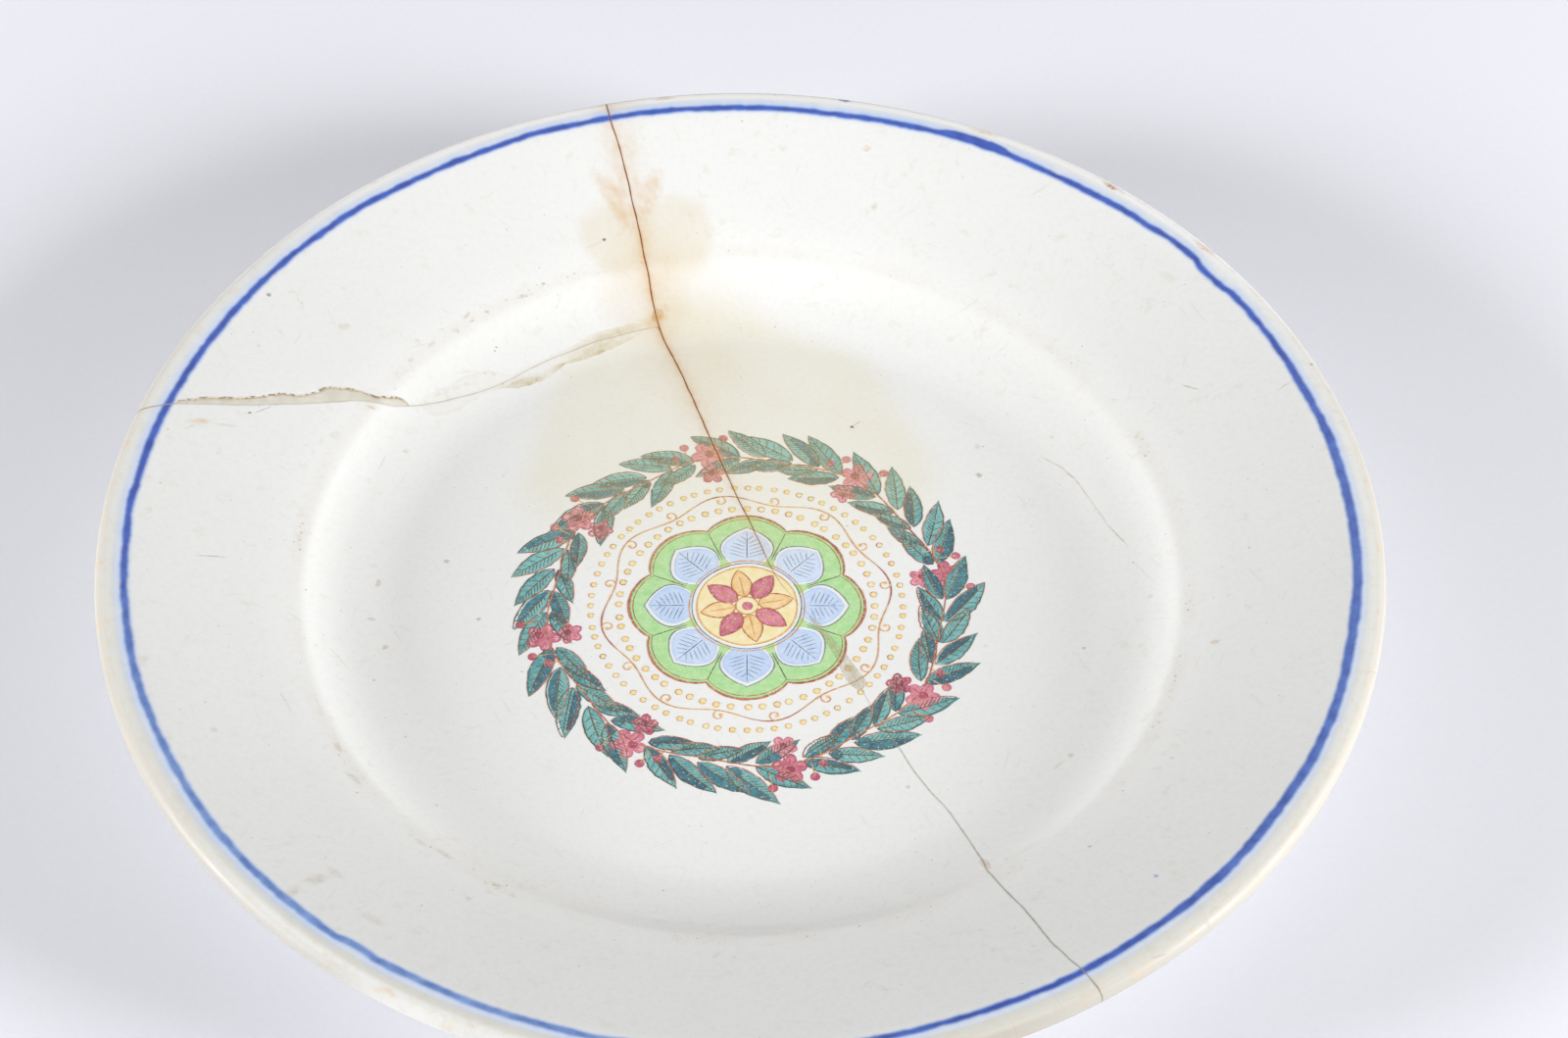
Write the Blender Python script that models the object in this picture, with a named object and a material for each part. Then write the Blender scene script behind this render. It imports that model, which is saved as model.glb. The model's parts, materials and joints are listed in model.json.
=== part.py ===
"""A white earthenware dinner plate, broken into three sherds and glued together again long ago.

Metres, +Z up. The plate stands on its foot ring, with the origin under its centre.
+Y is the far side of the plate and +X its right side.
"""

from math import atan2, cos, hypot, pi, radians, sin, tan

import bmesh
import bpy
import numpy as np
from mathutils import Vector

MM = 0.001

# Driving dimensions of the plate
DIAMETER = 245 * MM
HEIGHT = 27.5 * MM
WALL_THICKNESS = 4.3 * MM
WELL_FLOOR_RADIUS = 66 * MM
VERGE_RADIUS = 86 * MM
MARLY_SLOPE = radians(24)
WELL_WALL_SLOPE = radians(36)
VERGE_ROUNDING = 12 * MM
LIP_CREST_INSET = 3 * MM
LIP_BEND_RUN = 5 * MM
LIP_ROUNDING = 2.2 * MM
FOOT_RADIUS = 70 * MM
FOOT_WIDTH = 3.6 * MM
FOOT_ROUNDING = 0.7 * MM
TURNED_SIDES = 80

# How the pieces meet
CRACK_GAP = 0.3 * MM
GLUE_GAP = 0.4 * MM
FILL_GAP = 0.5 * MM
GLUE_FILM = 0.35 * MM
CUTTER_REACH = 1 * MM
OUTSIDE = 150 * MM

# Where the plate broke, as seen from above, in millimetres.
# The main crack runs from the far rim over the well to the near rim.
MAIN_CRACK = [
    (-30.2, 125.0), (-28.1, 113.7), (-25.5, 105.4), (-22.4, 92.0), (-19.8, 81.5), (-17.4, 70.8),
    (-13.7, 61.1), (-9.1, 47.3), (-3.4, 31.2), (1.4, 17.9), (6.4, 4.0), (13.1, -6.2),
    (20.1, -18.5), (26.0, -31.3), (33.3, -45.5), (39.5, -55.2), (43.6, -65.4), (45.0, -71.7),
    (50.7, -84.9), (54.7, -94.0), (58.5, -101.2), (65.6, -111.5),
]
# The side crack runs from the left rim to the main crack, which it meets at the foot of the wall.
SIDE_CRACK = [
    (-127.0, 25.3), (-112.2, 30.4), (-92.7, 37.1), (-78.5, 42.3), (-70.9, 43.8), (-63.2, 46.8),
    (-55.3, 50.8), (-47.5, 55.7), (-39.5, 61.2), (-31.3, 65.9), (-23.0, 69.1), (-17.4, 70.8),
]

# The edge chipped off the far side of the side crack: x, width, depth, in millimetres.
CHIPPED_EDGE = [
    (-113.0, 1.2, 0.7), (-104.0, 1.6, 0.9), (-95.0, 2.1, 1.1), (-88.0, 2.0, 1.1), (-83.0, 3.2, 1.4),
    (-78.5, 2.4, 1.2), (-73.0, 1.9, 0.9), (-69.0, 1.4, 0.6),
]

# How far the glue in the chipped edge stops short of the ends of the chip, in millimetres
FILL_INSET = 0.6

# The dried film over the side crack: x, reach to its near side, reach to its far side, in millimetres.
WALL_FILM = [
    (-66.5, 0.6, 0.6), (-62.0, 3.0, 1.4), (-56.0, 2.6, 3.2), (-51.5, 1.0, 3.6), (-48.0, 3.6, 1.0),
    (-43.5, 3.2, 0.6), (-36.0, 2.6, 0.7), (-30.0, 2.2, 0.9), (-25.0, 1.8, 1.6), (-20.5, 1.0, 2.4),
]

# The smear over the main crack in the well: y, reach towards -X, reach towards +X, in millimetres.
WELL_SMEAR = [
    (-6.5, 0.5, 0.6), (-12.0, 0.8, 0.7), (-18.0, 1.0, 0.9), (-21.0, 1.9, 1.6), (-25.0, 1.4, 1.3),
]

# Small dabs of glue on the cracks: node, x, y, radius, in millimetres.
GLUE_DABS = [
    ("glue_junction_dab", -17.9, 73.6, 1.5),
    ("glue_verge_dab", 44.2, -67.6, 1.3),
]
DAB_SIDES = 12


def clear_scene():
    for thing in list(bpy.data.objects):
        bpy.data.objects.remove(thing, do_unlink=True)


def finish(name, colour, roughness, metallic=0.0):
    """A material with one Principled shader."""
    material = bpy.data.materials.new(name)
    material.use_nodes = True
    shader = material.node_tree.nodes["Principled BSDF"]
    shader.inputs["Base Color"].default_value = (*colour, 1)
    shader.inputs["Roughness"].default_value = roughness
    shader.inputs["Metallic"].default_value = metallic
    return material


def add_object(name, bm, material=None):
    """Turns a bmesh into a named object in the scene."""
    mesh = bpy.data.meshes.new(name)
    bm.to_mesh(mesh)
    bm.free()
    thing = bpy.data.objects.new(name, mesh)
    bpy.context.scene.collection.objects.link(thing)
    if material:
        mesh.materials.append(material)
    return thing


def make_cutter(thing):
    thing.hide_render = True
    thing.display_type = "WIRE"
    return thing


# ---------------------------------------------------------------- the turned section


def arc(centre, radius, start, end, steps):
    """Points along an arc, from one angle to another, both included."""
    angles = [start + (end - start) * i / steps for i in range(steps + 1)]
    return [(centre[0] + radius * cos(a), centre[1] + radius * sin(a)) for a in angles]


def upper_line():
    """The glazed upper side from the floor's edge out to the crest of the lip, as (radius, height)."""
    crest = DIAMETER / 2 - LIP_CREST_INSET
    bend = LIP_BEND_RUN / sin(MARLY_SLOPE)
    lip = arc((crest, HEIGHT - bend), bend, pi / 2 + MARLY_SLOPE, pi / 2, 5)
    verge_height = lip[0][1] - (lip[0][0] - VERGE_RADIUS) * tan(MARLY_SLOPE)
    shoulder_centre = (
        VERGE_RADIUS + VERGE_ROUNDING * sin(MARLY_SLOPE),
        verge_height - VERGE_ROUNDING * cos(MARLY_SLOPE),
    )
    shoulder = arc(shoulder_centre, VERGE_ROUNDING, pi / 2 + WELL_WALL_SLOPE, pi / 2 + MARLY_SLOPE, 3)
    wall_top = shoulder[0]
    hollow = (wall_top[0] - WELL_FLOOR_RADIUS) / sin(WELL_WALL_SLOPE)
    hollow_centre = (WELL_FLOOR_RADIUS, wall_top[1] + hollow * cos(WELL_WALL_SLOPE))
    wall = arc(hollow_centre, hollow, -pi / 2, -pi / 2 + WELL_WALL_SLOPE, 8)
    return wall[:-1] + shoulder + lip


UPPER_LINE = upper_line()
FLOOR_TOP = UPPER_LINE[0][1]
FLOOR_UNDERSIDE = FLOOR_TOP - WALL_THICKNESS


def lower_line():
    """The underside, from the edge of the lip in to the outer side of the foot ring."""
    outward = []
    for (r0, z0), (r1, z1) in zip(UPPER_LINE, UPPER_LINE[1:]):
        slope = atan2(z1 - z0, r1 - r0)
        middle = ((r0 + r1) / 2, (z0 + z1) / 2)
        outward.append((middle[0] + WALL_THICKNESS * sin(slope), middle[1] - WALL_THICKNESS * cos(slope)))
    foot_outside = FOOT_RADIUS + FOOT_WIDTH / 2
    edge = DIAMETER / 2 - LIP_ROUNDING
    kept = [p for p in outward if foot_outside + FOOT_ROUNDING < p[0] < edge]
    return kept[::-1]


def plate_section():
    """The whole half section, down the outer side from the centre of the well to the centre underneath."""
    edge_centre = (DIAMETER / 2 - LIP_ROUNDING, HEIGHT - LIP_ROUNDING)
    edge = arc(edge_centre, LIP_ROUNDING, pi / 2, -radians(80), 7)
    outside = FOOT_RADIUS + FOOT_WIDTH / 2
    inside = FOOT_RADIUS - FOOT_WIDTH / 2
    foot_outer = arc((outside - FOOT_ROUNDING, FOOT_ROUNDING), FOOT_ROUNDING, 0, -pi / 2, 2)
    foot_inner = arc((inside + FOOT_ROUNDING, FOOT_ROUNDING), FOOT_ROUNDING, -pi / 2, -pi, 2)
    recess = [(inside - FOOT_ROUNDING, FLOOR_UNDERSIDE), (0, FLOOR_UNDERSIDE)]
    return [(0, FLOOR_TOP)] + UPPER_LINE + edge + lower_line() + foot_outer + foot_inner + recess


def surface_height(x, y):
    """Height of the glazed upper side over a point in plan."""
    radii, heights = zip(*UPPER_LINE)
    return float(np.interp(hypot(x, y), radii, heights))


def add_whole_plate(name, material):
    """The unbroken plate, turned from its half section."""
    bm = bmesh.new()
    points = [bm.verts.new((r, 0, z)) for r, z in plate_section()]
    for a, b in zip(points, points[1:]):
        bm.edges.new((a, b))
    plate = add_object(name, bm, material)
    turn = plate.modifiers.new("turned", "SCREW")
    turn.steps = TURNED_SIDES
    turn.render_steps = TURNED_SIDES
    turn.use_merge_vertices = True
    turn.merge_threshold = 0.00001
    turn.use_smooth_shade = True
    return plate


# ---------------------------------------------------------------- the cracks


def in_metres(points):
    return [(x * MM, y * MM) for x, y in points]


def left_of(route, i):
    """Unit vector in plan, to the left of the route's direction at its point i."""
    before = Vector(route[max(i - 1, 0)])
    after = Vector(route[min(i + 1, len(route) - 1)])
    along = (after - before).normalized()
    return Vector((-along.y, along.x))


def offset_route(route, distance):
    """The route moved sideways in plan, to its left."""
    return [tuple(Vector(p) + left_of(route, i) * distance) for i, p in enumerate(route)]


def add_prism(name, outline):
    """A tall block over an outline in plan, which takes one sherd out of the whole plate."""
    bm = bmesh.new()
    base = bm.faces.new([bm.verts.new((x, y, -2 * CUTTER_REACH)) for x, y in outline])
    bmesh.ops.recalc_face_normals(bm, faces=[base])
    grown = bmesh.ops.extrude_face_region(bm, geom=[base])
    rise = HEIGHT + 4 * CUTTER_REACH
    raised = [v for v in grown["geom"] if isinstance(v, bmesh.types.BMVert)]
    bmesh.ops.translate(bm, verts=raised, vec=(0, 0, rise))
    bmesh.ops.recalc_face_normals(bm, faces=bm.faces)
    return make_cutter(add_object(name, bm))


def sherd_outlines():
    """Outline in plan of each sherd, half the crack's gap back from the cracks."""
    half = CRACK_GAP / 2
    main = in_metres(MAIN_CRACK)
    side = in_metres(SIDE_CRACK)
    meeting = main.index(side[-1])
    to_left = -left_of(main, meeting) * half
    to_far = left_of(side, len(side) - 1) * half
    back_corner = tuple(Vector(side[-1]) + to_left + to_far)
    front_corner = tuple(Vector(side[-1]) + to_left - to_far)
    right_edge = offset_route(main, half)
    left_edge = offset_route(main, -half)
    far_edge = offset_route(side, half)[:-1]
    near_edge = offset_route(side, -half)[:-1]
    back_left = left_edge[:meeting] + [back_corner] + far_edge[::-1]
    front_left = near_edge + [front_corner] + left_edge[meeting + 1:]
    return {
        "right_sherd": right_edge + [(OUTSIDE, -OUTSIDE), (OUTSIDE, OUTSIDE)],
        "back_left_sherd": back_left + [(-OUTSIDE, OUTSIDE)],
        "front_left_sherd": front_left + [(OUTSIDE / 2, -OUTSIDE), (-OUTSIDE, -OUTSIDE)],
    }


def cut_with(piece, cutter, operation):
    boolean = piece.modifiers.new(cutter.name, "BOOLEAN")
    boolean.object = cutter
    boolean.operation = operation
    boolean.solver = "EXACT"


# ---------------------------------------------------------------- lofted strips along a crack


def route_point(route, value, coordinate):
    """The point and the left-hand direction where the route passes a given x (coordinate 0) or y (1)."""
    for i, (a, b) in enumerate(zip(route, route[1:])):
        share = (value - a[coordinate]) / (b[coordinate] - a[coordinate])
        if 0 <= share <= 1:
            return Vector(a).lerp(Vector(b), share), left_of(route, i if share < 0.5 else i + 1)
    raise ValueError("the route doesn't pass there")


def add_strip(name, route, coordinate, stations, section, material=None):
    """A closed strip over the glaze along a crack.

    Each station is a place on the route and the numbers that section() needs for its outline there,
    a list of (distance to the left, height over the glaze).
    """
    bm = bmesh.new()
    loops = []
    for value, *numbers in stations:
        at, left = route_point(route, value * MM, coordinate)
        loop = []
        for across, up in section(*(n * MM for n in numbers)):
            place = at + left * across
            loop.append(bm.verts.new((place.x, place.y, surface_height(*place) + up)))
        loops.append(loop)
    for a, b in zip(loops, loops[1:]):
        for i in range(len(a)):
            j = (i + 1) % len(a)
            bm.faces.new((a[i], a[j], b[j], b[i]))
    bm.faces.new(loops[0][::-1])
    bm.faces.new(loops[-1])
    bmesh.ops.recalc_face_normals(bm, faces=bm.faces)
    return add_object(name, bm, material)


def chip_section(width, depth):
    """The space that the chipped edge leaves, open to the crack and upwards."""
    crack_side = -CUTTER_REACH / 2
    return [
        (crack_side, CUTTER_REACH),
        (crack_side, -depth),
        (width * 0.45, -depth * 0.72),
        (width * 0.8, -depth * 0.3),
        (width + 0.1 * MM, 0.05 * MM),
        (width + 0.2 * MM, CUTTER_REACH),
    ]


def chip_fill_section(width, depth):
    """The glue in that space, clear of it all round, with a low crown."""
    crack_side = CRACK_GAP / 2
    return [
        (crack_side, 0.12 * MM),
        (crack_side, -depth + FILL_GAP),
        (width * 0.3, -depth * 0.8 + FILL_GAP),
        (width * 0.5, 0.02 * MM),
        (width * 0.4, 0.18 * MM),
    ]


def fill_stations():
    """The chip's stations, with the two ends drawn in."""
    first, *between, last = CHIPPED_EDGE
    return [(first[0] + FILL_INSET, *first[1:]), *between, (last[0] - FILL_INSET, *last[1:])]


def film_section(right, left):
    """A thin film that lies over both sides of a crack."""
    bottom = GLUE_GAP
    top = GLUE_GAP + GLUE_FILM
    edge = (bottom + top) / 2
    return [
        (-right, edge), (-right * 0.8, bottom), (0, bottom), (left * 0.8, bottom),
        (left, edge), (left * 0.6, top), (0, top), (-right * 0.6, top),
    ]


def add_dab(name, x, y, radius, material):
    """A low round drop of glue on the glaze."""
    bm = bmesh.new()
    rings = []
    for share, up in ((0.8, GLUE_GAP), (1.0, GLUE_GAP + GLUE_FILM / 2), (0.6, GLUE_GAP + GLUE_FILM)):
        ring = []
        for i in range(DAB_SIDES):
            turn = 2 * pi * i / DAB_SIDES
            px = x + radius * share * cos(turn)
            py = y + radius * share * sin(turn)
            ring.append(bm.verts.new((px, py, surface_height(px, py) + up)))
        rings.append(ring)
    for a, b in zip(rings, rings[1:]):
        for i in range(DAB_SIDES):
            j = (i + 1) % DAB_SIDES
            bm.faces.new((a[i], a[j], b[j], b[i]))
    bm.faces.new(rings[0][::-1])
    bm.faces.new(rings[-1])
    bmesh.ops.recalc_face_normals(bm, faces=bm.faces)
    return add_object(name, bm, material)


# ---------------------------------------------------------------- the object


def add_sherds():
    """Three pieces of one turned plate, parted along the cracks."""
    glaze_colours = {
        "right_sherd": (0.80, 0.80, 0.78),
        "back_left_sherd": (0.78, 0.77, 0.74),
        "front_left_sherd": (0.79, 0.79, 0.77),
    }
    chips = add_strip(
        "chipped_edge_cutter", in_metres(SIDE_CRACK), 0, CHIPPED_EDGE, chip_section
    )
    make_cutter(chips)
    for name, outline in sherd_outlines().items():
        glaze = finish(name + "_glaze", glaze_colours[name], 0.12)
        sherd = add_whole_plate(name, glaze)
        cut_with(sherd, add_prism(name + "_outline", outline), "INTERSECT")
        if name == "back_left_sherd":
            cut_with(sherd, chips, "DIFFERENCE")


def add_glue():
    """What shows of the old glue: in the chipped edge, and dried on the glaze over the cracks."""
    main = in_metres(MAIN_CRACK)
    side = in_metres(SIDE_CRACK)
    fill = finish("chip_fill_glue", (0.62, 0.52, 0.36), 0.35)
    film = finish("film_glue", (0.66, 0.63, 0.50), 0.2)
    add_strip("glue_chip_fill", side, 0, fill_stations(), chip_fill_section, fill)
    add_strip("glue_wall_film", side, 0, WALL_FILM, film_section, film)
    add_strip("glue_well_smear", main, 1, WELL_SMEAR, film_section, film)
    for name, x, y, radius in GLUE_DABS:
        add_dab(name, x * MM, y * MM, radius * MM, fill)


clear_scene()
add_sherds()
add_glue()
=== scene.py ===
# A white earthenware dinner plate, broken into three sherds and glued together again long ago.
# Metres, +Z up. It stands on its foot ring, with +Y its far side and +X its right side.

import json
from math import atan2, cos, hypot, pi, radians, sin, tan

import bmesh
import bpy
import numpy as np
from mathutils import Matrix, Vector
from mathutils.geometry import delaunay_2d_cdt

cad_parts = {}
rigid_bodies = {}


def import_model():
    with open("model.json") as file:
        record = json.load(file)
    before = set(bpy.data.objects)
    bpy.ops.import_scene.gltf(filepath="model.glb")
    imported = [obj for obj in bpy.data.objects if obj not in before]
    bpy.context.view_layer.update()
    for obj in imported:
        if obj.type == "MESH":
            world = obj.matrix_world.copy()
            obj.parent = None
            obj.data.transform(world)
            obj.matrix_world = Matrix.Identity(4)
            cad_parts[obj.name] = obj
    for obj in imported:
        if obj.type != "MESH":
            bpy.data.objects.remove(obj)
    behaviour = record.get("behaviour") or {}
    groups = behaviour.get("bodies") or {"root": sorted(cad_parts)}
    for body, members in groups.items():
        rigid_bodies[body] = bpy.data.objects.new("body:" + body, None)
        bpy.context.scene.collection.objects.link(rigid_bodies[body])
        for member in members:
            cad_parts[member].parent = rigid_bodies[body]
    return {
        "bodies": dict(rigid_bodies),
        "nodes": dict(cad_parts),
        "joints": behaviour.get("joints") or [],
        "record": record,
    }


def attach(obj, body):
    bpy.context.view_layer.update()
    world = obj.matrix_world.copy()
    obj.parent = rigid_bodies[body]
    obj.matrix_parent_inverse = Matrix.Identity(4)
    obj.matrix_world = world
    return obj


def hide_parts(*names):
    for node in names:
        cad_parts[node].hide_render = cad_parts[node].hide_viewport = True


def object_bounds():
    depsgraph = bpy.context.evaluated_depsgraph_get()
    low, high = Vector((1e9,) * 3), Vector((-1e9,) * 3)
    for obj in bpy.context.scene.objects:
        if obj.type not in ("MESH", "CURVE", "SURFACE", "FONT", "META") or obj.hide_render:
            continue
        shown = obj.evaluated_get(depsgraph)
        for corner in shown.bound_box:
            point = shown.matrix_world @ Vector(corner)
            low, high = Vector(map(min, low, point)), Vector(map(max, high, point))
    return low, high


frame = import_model()
cad_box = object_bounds()

# ---- The sherds --------------------------------------------------------------------------------
# One plate of white earthenware, turned over a mould, dipped in clear lead glaze and broken in three.
# The old glue holds the sherds where they belong, with a hair of dirty air between them.

MM = 0.001
DIAMETER = cad_box[1].x - cad_box[0].x
HEIGHT = cad_box[1].z - cad_box[0].z
WALL_THICKNESS = 4.3 * MM
WELL_FLOOR_RADIUS = 66 * MM
VERGE_RADIUS = 86 * MM
MARLY_SLOPE = radians(24)
WELL_WALL_SLOPE = radians(36)
VERGE_ROUNDING = 12 * MM
LIP_CREST_INSET = 3 * MM
LIP_BEND_RUN = 5 * MM
LIP_ROUNDING = 2.2 * MM
FOOT_RADIUS = 70 * MM
FOOT_WIDTH = 3.6 * MM
FOOT_ROUNDING = 0.7 * MM
TURNED_SIDES = 600
RING_STEP = 1.6 * MM
LIP_TURNED_UNDER = radians(80)
UNEVEN_FROM = 76 * MM
UNEVEN_WIDTH = 46 * MM
FLAT_FOOT = 3 * MM
BLOCK_MARGIN = 3 * MM
GLASS_IOR = 1.52
BODY_IOR = 1.5


def arc(centre, radius, start, end, steps):
    """Points along an arc, from one angle to another, both included."""
    turns = np.linspace(start, end, steps + 1)
    return [(centre[0] + radius * cos(a), centre[1] + radius * sin(a)) for a in turns]


def upper_line():
    """The upper side from the floor's edge out to the crest of the lip, as (radius, height)."""
    crest = DIAMETER / 2 - LIP_CREST_INSET
    bend = LIP_BEND_RUN / sin(MARLY_SLOPE)
    lip = arc((crest, HEIGHT - bend), bend, pi / 2 + MARLY_SLOPE, pi / 2, 8)
    verge_height = lip[0][1] - (lip[0][0] - VERGE_RADIUS) * tan(MARLY_SLOPE)
    shoulder_centre = (
        VERGE_RADIUS + VERGE_ROUNDING * sin(MARLY_SLOPE),
        verge_height - VERGE_ROUNDING * cos(MARLY_SLOPE),
    )
    shoulder = arc(shoulder_centre, VERGE_ROUNDING, pi / 2 + WELL_WALL_SLOPE, pi / 2 + MARLY_SLOPE, 6)
    hollow = (shoulder[0][0] - WELL_FLOOR_RADIUS) / sin(WELL_WALL_SLOPE)
    hollow_centre = (WELL_FLOOR_RADIUS, shoulder[0][1] + hollow * cos(WELL_WALL_SLOPE))
    wall = arc(hollow_centre, hollow, -pi / 2, -pi / 2 + WELL_WALL_SLOPE, 20)
    return wall[:-1] + shoulder + lip


UPPER_LINE = upper_line()
FLOOR_TOP = UPPER_LINE[0][1]


def finely(points):
    """The same line with no step longer than RING_STEP."""
    fine = [points[0]]
    for a, b in zip(points, points[1:]):
        across, up = b[0] - a[0], b[1] - a[1]
        steps = max(1, round(hypot(across, up) / RING_STEP))
        fine += [(a[0] + across * i / steps, a[1] + up * i / steps) for i in range(1, steps + 1)]
    return fine


def plate_section():
    """The half section, from the centre of the well over the lip to the centre underneath."""
    edge_centre = (DIAMETER / 2 - LIP_ROUNDING, HEIGHT - LIP_ROUNDING)
    edge = arc(edge_centre, LIP_ROUNDING, pi / 2, -LIP_TURNED_UNDER, 14)
    outside = FOOT_RADIUS + FOOT_WIDTH / 2
    inside = FOOT_RADIUS - FOOT_WIDTH / 2
    under = []
    for (r0, z0), (r1, z1) in zip(UPPER_LINE, UPPER_LINE[1:]):
        slope = atan2(z1 - z0, r1 - r0)
        r = (r0 + r1) / 2 + WALL_THICKNESS * sin(slope)
        if outside + FOOT_ROUNDING < r < edge_centre[0]:
            under.append((r, (z0 + z1) / 2 - WALL_THICKNESS * cos(slope)))
    foot_outer = arc((outside - FOOT_ROUNDING, FOOT_ROUNDING), FOOT_ROUNDING, 0, -pi / 2, 4)
    foot_inner = arc((inside + FOOT_ROUNDING, FOOT_ROUNDING), FOOT_ROUNDING, -pi / 2, -pi, 4)
    recess = [(inside - FOOT_ROUNDING, FLOOR_TOP - WALL_THICKNESS), (0, FLOOR_TOP - WALL_THICKNESS)]
    return finely([(0, FLOOR_TOP)] + UPPER_LINE + edge[1:] + under[::-1] + foot_outer + foot_inner + recess)


def unevenness(x, y):
    """How far the hand-finished plate dips below its true turned shape, in metres, never above it."""
    radius = np.hypot(x, y)
    turn = np.arctan2(y, x)
    towards_lip = np.clip((radius - UNEVEN_FROM) / UNEVEN_WIDTH, 0, 1) ** 2
    sway = 0.05 * np.cos(2 * turn + 0.7) + 0.03 * np.cos(3 * turn + 2.1) + 0.02 * np.cos(7 * turn + 4.0)
    ripple = np.sin(x / (9 * MM) + 1.3) * np.sin(y / (11 * MM) + 0.4) + np.sin((x + y) / (7 * MM))
    return -(towards_lip * (0.1 + sway) + 0.008 * (2 + ripple)) * MM


def surface_height(x, y):
    """Height of the glazed upper side over points in plan, all in millimetres."""
    radii, heights = zip(*UPPER_LINE)
    x, y = x * MM, y * MM
    return (np.interp(np.hypot(x, y), radii, heights) + unevenness(x, y)) / MM


def turned_plate():
    """The unbroken plate as a closed mesh, with a pole in the middle of each side."""
    radii, heights = np.array(plate_section()).T
    turns = np.arange(TURNED_SIDES) * 2 * pi / TURNED_SIDES
    rings = len(radii) - 2
    x = np.outer(radii[1:-1], np.cos(turns))
    y = np.outer(radii[1:-1], np.sin(turns))
    z = heights[1:-1, None] + unevenness(x, y) * np.clip(heights[1:-1, None] / FLAT_FOOT, 0, 1)
    places = np.stack([x, y, z], 2).reshape(-1, 3).tolist()
    places += [(0, 0, heights[0] + float(unevenness(0, 0))), (0, 0, heights[-1])]
    faces = []
    for i in range(TURNED_SIDES):
        j = (i + 1) % TURNED_SIDES
        for ring in range(rings - 1):
            a = ring * TURNED_SIDES
            b = a + TURNED_SIDES
            faces.append((a + i, b + i, b + j, a + j))
        last = (rings - 1) * TURNED_SIDES
        faces.append((rings * TURNED_SIDES, i, j))
        faces.append((rings * TURNED_SIDES + 1, last + j, last + i))
    mesh = bpy.data.meshes.new("unbroken_plate")
    mesh.from_pydata(places, [], faces)
    return mesh


# Where the plate broke, as seen from above, in millimetres: the main crack from the far rim to the near
# rim, and the side crack from the left rim to the main crack.
MAIN_CRACK = [
    (-30.2, 125.0), (-28.1, 113.7), (-25.5, 105.4), (-22.4, 92.0), (-19.8, 81.5), (-17.4, 70.8),
    (-13.7, 61.1), (-9.1, 47.3), (-3.4, 31.2), (1.4, 17.9), (6.4, 4.0), (13.1, -6.2),
    (20.1, -18.5), (26.0, -31.3), (33.3, -45.5), (39.5, -55.2), (43.6, -65.4), (45.0, -71.7),
    (50.7, -84.9), (54.7, -94.0), (58.5, -101.2), (65.6, -111.5),
]
SIDE_CRACK = [
    (-127.0, 25.3), (-112.2, 30.4), (-92.7, 37.1), (-78.5, 42.3), (-70.9, 43.8), (-63.2, 46.8),
    (-55.3, 50.8), (-47.5, 55.7), (-39.5, 61.2), (-31.3, 65.9), (-23.0, 69.1), (-17.4, 70.8),
]
JUNCTION = np.array(SIDE_CRACK[-1])
CRACK_STEP = 0.7
# The waves of the fracture: length and size in millimetres, and how far from the junction they begin.
FRACTURE_WAVES = [(9.0, 0.13), (3.7, 0.06), (1.9, 0.03)]
WAVES_BEGIN = 6
OUTSIDE = 150


def left_of(line):
    """Unit vectors in plan that point to the left of a line, one at each of its points."""
    way = np.gradient(line, axis=0)
    way /= np.hypot(*way.T)[:, None]
    return np.stack([-way[:, 1], way[:, 0]], 1)


def fractured(route, seed):
    """The route as a fine line with the small waves of a real fracture, true at its end and junction."""
    route = np.array(route)
    before = np.vstack([2 * route[0] - route[1], route[:-1]])
    after = np.vstack([route[1:], 2 * route[-1] - route[-2]])
    tangents = (after - before) / 2
    line = []
    for a, b, ta, tb in zip(route, route[1:], tangents, tangents[1:]):
        t = np.linspace(0, 1, max(2, round(np.hypot(*(b - a)) / CRACK_STEP)), endpoint=False)[:, None]
        line.append(
            (2 * t**3 - 3 * t**2 + 1) * a + (t**3 - 2 * t**2 + t) * ta
            + (3 * t**2 - 2 * t**3) * b + (t**3 - t**2) * tb
        )
    line = np.vstack(line + [route[-1:]])
    draw = np.random.default_rng(seed)
    along = np.arange(len(line)) * CRACK_STEP
    wave = np.zeros(len(line))
    for length, size in FRACTURE_WAVES:
        knots = np.arange(0, along[-1] + 2 * length, length)
        wave += size * np.interp(along, knots, draw.normal(0, 1, len(knots)))
    away = np.minimum(np.hypot(*(line - JUNCTION).T), np.hypot(*(line - line[-1]).T))
    left = left_of(line)
    return line + left * (wave * np.clip(away / WAVES_BEGIN, 0, 1))[:, None], left


main_line, main_left = fractured(MAIN_CRACK, 5)
side_line, side_left = fractured(SIDE_CRACK, 11)


def main_gap(line):
    """Width of the main crack in millimetres: open at the rims, closed under the middle of the well."""
    y = [-105, -60, -30, -12, 0, 25, 75, 115]
    return np.interp(line[:, 1], y, [0.07, 0.06, 0.05, 0.04, 0.05, 0.09, 0.1, 0.12])


def side_gap(line):
    """Width of the side crack in millimetres."""
    return np.interp(line[:, 0], [-120, -70, -20], [0.13, 0.06, 0.04])


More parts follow.
